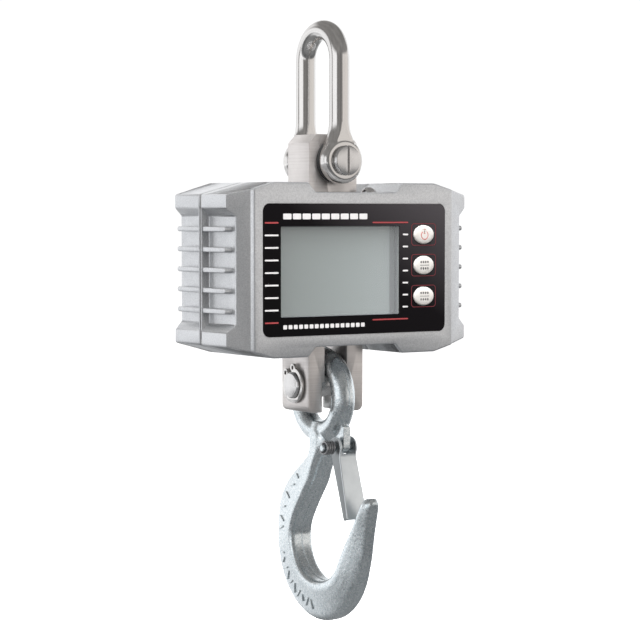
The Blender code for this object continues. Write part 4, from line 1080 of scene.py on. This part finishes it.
def make_circlips():
    """Open rings in the pin's grooves, each with two drilled lugs."""
    inner = HOOK_PIN_R - GROOVE_DEPTH + GAP
    for name in ("circlip_left", "circlip_right"):
        low, high = span(name)
        start, end = CLIP_MIDDLE + CLIP_OPENING / 2, CLIP_MIDDLE + 360 - CLIP_OPENING / 2
        shape = arc((0, HOOK_PIN_Z), CLIP_R, start, end, 40)
        shape += arc((0, HOOK_PIN_Z), inner, end, start, 40)
        clip = put(name + "_ring", slab(shape, "X", low.x, high.x), POLISH)
        for side in (-1, 1):
            turn = math.radians(CLIP_MIDDLE + side * LUG_TURN)
            place = (CLIP_R * 0.98 * math.cos(turn), HOOK_PIN_Z + CLIP_R * 0.98 * math.sin(turn))
            join(clip, rod("X", place, CLIP_LUG_R, low.x, high.x, 28))
            cut(clip, rod("X", place, CLIP_HOLE_R, low.x - 1, high.x + 1, 20))
        soften(clip, 0.18, 2, 40)
        fit(clip, "hook_pin", "polish", name)


# ---- hook ----
SIDE_CROWN = 0.08    # how much the sides swell, as a share of the width
LATCH_LUG_R = 3.9
LATCH_LUG_HALF = 2.5
LATCH_BORE_R = 2.3


def hook_stations():
    """Sections from the shank to the tip.

    Each has its inner point, its outer point, its width at both, and a power that rounds its
    corners: 1 makes an ellipse, and less makes them fuller.
    """
    shank = [((-8.5, -91.5), (8.5, -91.5), 8.4, 8.4, 1.0),
             ((-11.6, -96.0), (11.2, -96.0), 13.4, 12.6, 0.95),
             ((-11.4, -100.5), (10.6, -100.5), 16.6, 13.6, 0.85),
             ((-8.6, -107.5), (9.9, -106.0), 17.2, 12.4, 0.7),
             ((-3.6, -114.5), (12.5, -112.5), 17.3, 11.0, 0.6),
             ((0.3, -120.5), (19.0, -117.8), 17.0, 10.0, 0.5),
             ((4.3, -128.5), (28.5, -124.8), 17.3, 9.5, 0.40),
             ((10.2, -136.5), (37.0, -132.8), 17.3, 9.0, 0.36),
             ((17.0, -145.5), (43.5, -143.0), 17.3, 9.0, 0.34),
             ((22.4, -154.0), (45.6, -154.0), 17.3, 9.0, 0.34)]
    steps = 16
    inner = arc((0, BOWL_Z), BOWL_R, 5, -155, steps)
    outer = arc(BOWL_OUT, BOWL_OUT_R, 6, -160, steps)
    bowl = [(a, b, 17.3 - 2.5 * i / steps, 9.0, 0.36) for i, (a, b) in enumerate(zip(inner, outer))]
    tip = [((-26.4, -165.0), (-45.4, -169.5), 14.0, 8.6, 0.42),
           ((-31.4, -157.6), (-47.2, -160.0), 13.2, 8.2, 0.42),
           ((-36.6, -149.5), (-49.4, -149.5), 12.6, 7.8, 0.45),
           ((-40.8, -142.0), (-51.6, -140.5), 12.0, 7.6, 0.5),
           ((-43.6, -136.5), (-52.6, -135.5), 10.6, 6.8, 0.6),
           ((-45.8, -133.2), (-51.4, -132.6), 6.4, 4.2, 0.8)]
    return shank + bowl + tip


def set_forward(y, z):
    """Shift a profile point forward, growing from nothing at the eye."""
    share = min(max((HOOK_SET_TOP - z) / HOOK_SET_RUN, 0.0), 1.0)
    return y + HOOK_SET * share


def between(a, b, c, d, t):
    """A smooth curve through b and c, led by the points before and after."""
    return 0.5 * (2 * b + (c - a) * t + (2 * a - 5 * b + 4 * c - d) * t ** 2
                  + (3 * b - a - 3 * c + d) * t ** 3)


def smooth_stations(steps=4):
    """The stations as rows of seven numbers, with more rows drawn in between."""
    rows = []
    for (ya, za), (yb, zb), wide, narrow, full in hook_stations():
        rows.append((set_forward(ya, za), za, set_forward(yb, zb), zb, wide, narrow, full))
    padded = [rows[0]] + rows + [rows[-1]]
    dense = []
    for a, b, c, d in zip(padded, padded[1:], padded[2:], padded[3:]):
        for k in range(steps):
            dense.append([between(*values, k / steps) for values in zip(a, b, c, d)])
    return dense + [list(rows[-1])]


def bulge(value, power):
    return math.copysign(abs(value) ** power, value)


def ends_of(row):
    """A station's inner and outer points."""
    return Vector((0, row[0], row[1])), Vector((0, row[2], row[3]))


def half_width(row, depth):
    """Half a station's width at a depth: 0 is its inner side and 1 its outer."""
    return (row[4] + (row[5] - row[4]) * depth) / 2


def hook_section(bm, row, segments=48):
    """One closed section: broad inside the bowl, narrow along the spine, full in its corners."""
    ring, edges = hoop(bm, (0, 0, 0), 1.0, segments)
    inner, outer = ends_of(row)
    for vert in ring:
        depth = (1 - bulge(vert.co.x, row[6])) / 2
        crown = 1.0 + SIDE_CROWN * math.sin(math.pi * depth)
        across = bulge(vert.co.y, row[6]) * half_width(row, depth) * crown
        vert.co = inner.lerp(outer, depth) + Vector((across, 0, 0))
    return edges


def eye_ring(distance, radius, segments):
    """A ring of round bar about the eye's axis."""
    bm = bmesh.new()
    edges = hoop(bm, (0, distance, RING_Z), radius, segments)[1]
    bmesh.ops.spin(bm, geom=bm.verts[:] + edges, cent=(0, 0, RING_Z), axis=(1, 0, 0),
                   angle=2 * math.pi, steps=96, use_merge=True)
    bmesh.ops.recalc_face_normals(bm, faces=bm.faces)
    return bm


def make_hook():
    """A forging: the eye, the hook's sections and the latch's lug, run together."""
    bm = bmesh.new()
    loft(bm, [hook_section(bm, row) for row in smooth_stations()])
    y, z, r = LATCH_Y, LATCH_Z, LATCH_LUG_R
    outline = [(-4.0, -93.0), (y - r, -93.0)] + arc((y, z), r, 180, 265, 8) + [(-4.0, z - 8.0)]
    lug = slab(outline, "X", -LATCH_LUG_HALF, LATCH_LUG_HALF)
    hook = put("forged_hook", gather([bm, eye_ring(RING_MID, RING_BAR_R, 36), lug]), ZINC)
    melt(hook, 0.62, 3)
    cut(hook, rod("X", (y, z), LATCH_BORE_R, -9, 9, 32))
    fit(hook, "hook", "zinc", "hook", smooth=50)


FLASH_FIRST = 18     # rows of the hook that the bead inside the bowl runs along
FLASH_LAST = 104
FLASH_R = 0.55
FLASH_SINK = 0.15    # how far its middle lies under the surface


def make_flash_lines():
    """The forging's parting line, round the eye and along the inside of the bowl."""
    ring = eye_ring(RING_MID + RING_BAR_R + 0.05, 0.5, 8)
    fit(put("eye_flash_line", ring, ZINC), "hook", "zinc", smooth=60)
    bead = bmesh.new()
    loft(bead, [flash_section(bead, row) for row in smooth_stations()[FLASH_FIRST:FLASH_LAST]])
    fit(put("bowl_flash_line", bead, ZINC), "hook", "zinc", smooth=60)


def flash_section(bm, row):
    ring, edges = hoop(bm, (0, 0, 0), FLASH_R, 8)
    inner, outer = ends_of(row)
    inward = (outer - inner).normalized()
    for vert in ring:
        vert.co = inner + inward * (vert.co.x + FLASH_SINK) + Vector((vert.co.y, 0, 0))
    return edges


DASH_FIRST = 24      # rows of the hook that the dashes run along
DASH_LAST = 76
DASH_STEP = 3
DASH_SPACE = (6, 7)  # dashes left out, as between two words
DASH_DEPTH = 0.62    # how far out on the side they lie
DASH_LONG = 6.2
DASH_SHORT = 4.2
DASH_T = 1.0
DASH_RISE = 1.3


def make_forging_dashes():
    """Plain raised dashes along the left face of the back, in place of the forge's marks."""
    rows = smooth_stations()
    bm = bmesh.new()
    for number, k in enumerate(range(DASH_FIRST, DASH_LAST, DASH_STEP)):
        if number in DASH_SPACE:
            continue
        length = DASH_LONG if number % 3 else DASH_SHORT
        place = dash_place(rows[k], rows[k + 1], 18 if number % 2 else -24)
        size = Matrix.Diagonal((length, DASH_T, DASH_RISE, 1.0))
        bmesh.ops.create_cube(bm, size=1.0, matrix=place @ size)
    bmesh.ops.bevel(bm, geom=bm.edges[:], offset=0.22, segments=2, profile=0.5, affect="EDGES",
                    material=-1)
    bmesh.ops.recalc_face_normals(bm, faces=bm.faces)
    fit(put("forging_dashes", bm, ZINC), "hook", "zinc", smooth=40)


def dash_place(row, after, lean):
    """Place and turn of one dash on the left side, leaning from straight across by an angle."""
    inner, outer = ends_of(row)
    middle = inner.lerp(outer, DASH_DEPTH)
    ahead = ends_of(after)[0].lerp(ends_of(after)[1], DASH_DEPTH)
    outwards = (Vector(((row[4] - row[5]) / 2, 0, 0)) + outer - inner).normalized()
    normal = (ahead - middle).normalized().cross(outwards).normalized()
    if normal.x > 0:
        normal = -normal
    bar = Matrix.Rotation(math.radians(lean), 3, normal) @ outwards
    turn = Matrix((bar, normal.cross(bar), normal)).transposed().to_4x4()
    half = half_width(row, DASH_DEPTH) * (1.0 + SIDE_CROWN)
    return Matrix.Translation(middle - Vector((half, 0, 0))) @ turn


# ---- latch ----
LATCH_T_TOP = 12.4
LATCH_T_END = 15.0
LATCH_SHEET = 1.4
LATCH_EAR_R = 6.0
LATCH_FLANGE = 4.6
LATCH_LIP = 1.8      # how far the face goes on above its bend
LATCH_TIP = (-37.5, -146.5)
AXLE_R = 2.0
AXLE_HEAD_R = 3.1


def make_latch_axle():
    """A headed pin: the plain end on the left, the head on the right."""
    low, high, r, head = AXLE_LOW.x, AXLE_HIGH.x, AXLE_R, AXLE_HEAD_R
    start = LATCH_T_TOP / 2 + 0.6
    profile = [(low, 0.0), (low, r - 0.4), (low + 0.4, r), (start, r), (start, head),
               (high - 0.5, head), (high, head - 0.6), (high, 0.0)]
    axle = put("latch_axle", turned(profile, "X", (LATCH_Y, LATCH_Z), 32), ZINC)
    fit(axle, "hook", "zinc", "latch_pin")


def latch_half(height, top, tip, least, most):
    """Half the channel's width at a height: it widens from its top to its tip."""
    share = min(max((top.y - height) / (top.y - tip.y), least), most)
    return (LATCH_T_TOP + (LATCH_T_END - LATCH_T_TOP) * share) / 2


def make_latch():
    """A pressed channel: a tapering face with folded sides, and two ears on the axle."""
    y, z = LATCH_Y, LATCH_Z
    tip = Vector(LATCH_TIP)
    top = Vector((y - 5.0, z - 5.6))
    down = (tip - top).normalized()
    back = Vector((-down.y, down.x))
    if back.x < 0:
        back = -back
    ear = arc((y, z), LATCH_EAR_R, 190, -40, 20)
    shape = [tuple(top)] + ear + [tuple(top + back * (LATCH_FLANGE + 3.0) + down * 7.0),
                                  tuple(tip + back * LATCH_FLANGE), tuple(tip)]
    half = LATCH_T_END / 2
    latch = put("latch_channel", slab(shape, "X", -half, half), SHEET)
    for vert in latch.data.vertices:
        wide = latch_half(vert.co.z / MM - MIDDLE_Z, top, tip, 0.0, 1.0)
        vert.co.x = math.copysign(wide * MM, vert.co.x)
    soften(latch, 0.9, 4, 50)
    shift = back * LATCH_SHEET
    above, below = top + shift - down * 30.0, tip + shift + down * 10.0
    hollow = [tuple(above), tuple(above + back * 40), tuple(below + back * 40), tuple(below)]
    room = slab(hollow, "X", -half + LATCH_SHEET, half - LATCH_SHEET)
    for vert in room.verts:
        wide = latch_half(vert.co.z, top, tip, -1.0, 1.5) - LATCH_SHEET
        vert.co.x = math.copysign(wide, vert.co.x)
    cut(latch, room)
    wall = LATCH_T_TOP / 2 - LATCH_SHEET
    lip = top.y + LATCH_LIP
    cut(latch, block((-wall, wall), (y - 20, y + 20), (lip, lip + 30)))
    cut(latch, rod("X", (y, z), LATCH_BORE_R, -12, 12, 32))
    # painted shade: faces that look to either side take the darker copy of the sheet finish
    latch.data.materials.append(SHEET_PAINTED_SHADE)
    for face in latch.data.polygons:
        if abs(face.normal.x) > 0.85:
            face.material_index = 1
    fit(latch, "latch", "latch", "latch", smooth=35)


SPRING_WIRE_R = 0.65
SPRING_TURNS = 4


def make_spring():
    """Close turns of wire on the latch's axle."""
    low, high = span("latch_spring")
    wire_r, steps = SPRING_WIRE_R, SPRING_TURNS * 32
    coil = (high.z - low.z) / 2 - wire_r
    length = high.x - low.x - 2 * wire_r
    bm = bmesh.new()
    ring, edges = hoop(bm, (high.x - wire_r, LATCH_Y + coil, LATCH_Z), wire_r, 12)
    bmesh.ops.spin(bm, geom=ring + edges, cent=(0, LATCH_Y, LATCH_Z), axis=(1, 0, 0),
                   dvec=(-length / steps, 0, 0), angle=2 * math.pi * SPRING_TURNS, steps=steps)
    spring = put("latch_torsion_spring", close_ends(bm), WIRE)
    fit(spring, "hook", "spring", "latch_spring", smooth=60)


# ---- carried-over nodes ----
CARRIED_FINISH = {
    "shell_gasket_left": SEAM_RUBBER, "shell_gasket_right": SEAM_RUBBER, "upper_seal": RUBBER,
    "lower_seal": RUBBER, "door_seal": RUBBER, "cell_cable": RUBBER, "mount_bar": MILLED,
    "gauge_cover_left": DARK_PLASTIC, "gauge_cover_right": DARK_PLASTIC,
    "display_panel": DISPLAY, "display_bezel": BEZEL, "main_board": BOARD,
    "battery_tray": DARK_PLASTIC, "contact_left": CONTACT, "contact_right": CONTACT,
}


def dress_frame():
    """Give every CAD node that still shows its finish."""
    for name, node in CAD.items():
        if node.hide_render:
            continue
        material = CARRIED_FINISH.get(name)
        if name.startswith("battery_") and not material:
            material = JACKET
        if name.startswith("key_switch"):
            material = DARK_PLASTIC
        if "screw" in name or "bolt" in name:
            material = SCREW
        node.data.materials.clear()
        node.data.materials.append(material)


# ---- studio ----
VIEW_AZIMUTH = 33.748
VIEW_TILT = 87.11
VIEW_FROM = (-0.70566, -1.05363, MIDDLE_Z * MM + 0.03272)
LENS_LENGTH = 119.51
FLOOR_Z = -0.42
FLOOR_R = 8.0


def make_camera():
    lens = bpy.data.cameras.new("camera")
    lens.lens = LENS_LENGTH
    lens.sensor_width = 36.0
    lens.clip_end = 50.0
    camera = show(bpy.data.objects.new("camera", lens))
    camera.location = VIEW_FROM
    camera.rotation_euler = (math.radians(VIEW_TILT), 0.0, math.radians(-VIEW_AZIMUTH))
    bpy.context.scene.camera = camera


def make_floor():
    """A pale disc below the hook, which lights nothing and shows in no reflection."""
    bm = bmesh.new()
    bmesh.ops.create_circle(bm, cap_ends=True, segments=64, radius=FLOOR_R)
    bmesh.ops.translate(bm, verts=bm.verts, vec=(0, 0, FLOOR_Z))
    mesh = bpy.data.meshes.new("floor")
    bm.to_mesh(mesh)
    bm.free()
    floor = show(bpy.data.objects.new("floor", mesh))
    mesh.materials.append(finish("pale_floor", (0.9, 0.9, 0.9), 0.9, Emission_Color=(1, 1, 1, 1),
                                 Emission_Strength=0.7))
    floor.visible_diffuse = False
    floor.visible_glossy = False


def compass(world, where):
    """Direction round the object as a share of a full turn; a half is behind the reader."""
    turn = add(world, "ShaderNodeVectorRotate", rotation_type="Z_AXIS",
               Angle=math.radians(VIEW_AZIMUTH + 90.0))
    wire(world, where, turn.inputs["Vector"])
    flat = add(world, "ShaderNodeSeparateXYZ")
    wire(world, turn.outputs["Vector"], flat.inputs["Vector"])
    angle = add(world, "ShaderNodeMath", operation="ARCTAN2")
    wire(world, flat.outputs["Y"], angle.inputs[0])
    wire(world, flat.outputs["X"], angle.inputs[1])
    return rescale(world, angle.outputs["Value"], -math.pi, math.pi)


def walls(world, heading, bands):
    """A colour that changes round the compass, from (degrees, colour) pairs."""
    stops = [((degrees + 180.0) / 360.0, colour) for degrees, colour in bands]
    return ramp(world, heading, stops)


def lay_over(world, under, over, share):
    """One colour laid over another by a share; the upper one is plain or from a node."""
    mix = add(world, "ShaderNodeMix", data_type="RGBA")
    wire(world, share, mix.inputs["Factor"])
    wire(world, under, mix.inputs[6])
    if isinstance(over, tuple):
        mix.inputs[7].default_value = (*over, 1.0)
    else:
        wire(world, over, mix.inputs[7])
    return mix.outputs[2]


def mottle(world, under, where, scale, amount):
    """Let the room's brightness wander softly from place to place."""
    cloud = add(world, "ShaderNodeTexNoise", Scale=scale, Detail=3.0)
    wire(world, where, cloud.inputs["Vector"])
    level = rescale(world, cloud.outputs["Fac"], 0.3, 0.7, 1.0 - amount / 2, 1.0 + amount / 2)
    scaled = add(world, "ShaderNodeVectorMath", operation="SCALE")
    wire(world, under, scaled.inputs["Vector"])
    wire(world, level, scaled.inputs["Scale"])
    return scaled.outputs["Vector"]


WHITE_WALL = (1.20, 1.21, 1.23)
BRIGHT_WALL = (1.50, 1.52, 1.55)
WARM_WALL = (0.90, 0.865, 0.835)
DIM_WALL = (0.26, 0.255, 0.25)
GREY_FLOOR = (0.27, 0.275, 0.28)
BRIGHT_CEILING = (1.02, 1.02, 1.03)
DIM_CEILING = (0.28, 0.275, 0.27)


def room_bands():
    """Compass bands as (degrees, colour): nought is behind the reader, minus is to the left."""
    return [(-180, WHITE_WALL), (-97, WHITE_WALL), (-92, DIM_WALL), (-86, DIM_WALL),
            (-81, WHITE_WALL), (-34, WHITE_WALL), (-25, DIM_WALL), (26, DIM_WALL), (42, WARM_WALL),
            (104, WARM_WALL), (120, WHITE_WALL), (180, WHITE_WALL)]


def low_bands():
    """The bands below the reader's eye, with the dim wall moved to the right."""
    return [(-180, WHITE_WALL), (-130, WHITE_WALL), (-118, BRIGHT_WALL), (-106, BRIGHT_WALL),
            (-10, BRIGHT_WALL), (2, DIM_WALL), (36, DIM_WALL), (52, WARM_WALL), (104, WARM_WALL),
            (120, WHITE_WALL), (180, WHITE_WALL)]


def floor_bands():
    """The floor's edge: lit at the far left, dark elsewhere."""
    lit, grey, dark = (0.95, 0.96, 0.98), (0.50, 0.51, 0.52), (0.19, 0.195, 0.20)
    return [(-180, grey), (-152, lit), (-118, lit), (-100, dark), (112, dark), (138, grey),
            (180, grey)]


def ceiling_bands():
    """Dim overhead and in front, bright over the backdrop."""
    return [(-180, BRIGHT_CEILING), (-135, BRIGHT_CEILING), (-112, DIM_CEILING),
            (112, DIM_CEILING), (135, BRIGHT_CEILING), (180, BRIGHT_CEILING)]


def make_surroundings():
    """A room seen only by light and reflections; looked at, the world is plain white.

    Each layer comes in from one height to another, where a height is the sine of the angle
    above the horizon.
    """
    world = bpy.data.worlds.new("studio")
    bpy.context.scene.world = world
    world.use_nodes = True
    world.node_tree.nodes.clear()
    where = add(world, "ShaderNodeTexCoord").outputs["Generated"]
    split = add(world, "ShaderNodeSeparateXYZ")
    wire(world, where, split.inputs["Vector"])
    heading = compass(world, where)
    colour = walls(world, heading, room_bands())
    for layer, start, full in ((low_bands(), -0.06, -0.12), (floor_bands(), -0.13, -0.22),
                               (GREY_FLOOR, -0.40, -0.52), (ceiling_bands(), 0.22, 0.34),
                               (DIM_CEILING, 0.46, 0.62)):
        over = walls(world, heading, layer) if isinstance(layer, list) else layer
        colour = lay_over(world, colour, over, rescale(world, split.outputs["Z"], start, full))
    colour = mottle(world, colour, where, 2.2, 0.45)
    room = add(world, "ShaderNodeBackground")
    wire(world, colour, room.inputs["Color"])
    white = add(world, "ShaderNodeBackground", Color=(1, 1, 1, 1), Strength=1.05)
    seen = add(world, "ShaderNodeLightPath")
    choice = add(world, "ShaderNodeMixShader")
    out = add(world, "ShaderNodeOutputWorld")
    wire(world, seen.outputs["Is Camera Ray"], choice.inputs["Fac"])
    wire(world, room.outputs["Background"], choice.inputs[1])
    wire(world, white.outputs["Background"], choice.inputs[2])
    wire(world, choice.outputs["Shader"], out.inputs["Surface"])


def make_lights():
    """Square soft lights: name, place and side in metres, and power in watts."""
    for name, place, side, power in (("top_light", (-0.2, -0.25, 1.7), 1.6, 105.0),
                                     ("front_light", (-0.4, -1.5, 1.2), 1.6, 16.0),
                                     ("key_light", (-1.5, -0.3, 0.5), 1.2, 12.0),
                                     ("fill_light", (1.3, -1.2, 0.3), 1.4, 5.0)):
        light = bpy.data.lights.new(name, "AREA")
        light.shape = "SQUARE"
        light.size = side
        light.energy = power
        lamp = show(bpy.data.objects.new(name, light))
        lamp.location = place
        aim = Vector((0, 0, MIDDLE_Z * MM)) - Vector(place)
        lamp.rotation_euler = aim.to_track_quat("-Z", "Y").to_euler()
        lamp.visible_glossy = False


make_bow()
make_shadow_washers()
make_screw_pin()
make_cell()
make_front_half()
make_rear_half()
make_door()
make_case_screws()
make_ledge_screw()
make_keypad_film()
make_print_marks()
make_keys()
make_lens_plate()
make_hook_pin()
make_circlips()
make_hook()
make_flash_lines()
make_forging_dashes()
make_latch_axle()
make_spring()
make_latch()
dress_frame()
make_floor()
make_surroundings()
make_lights()
make_camera()
bpy.context.scene.view_settings.view_transform = "Standard"
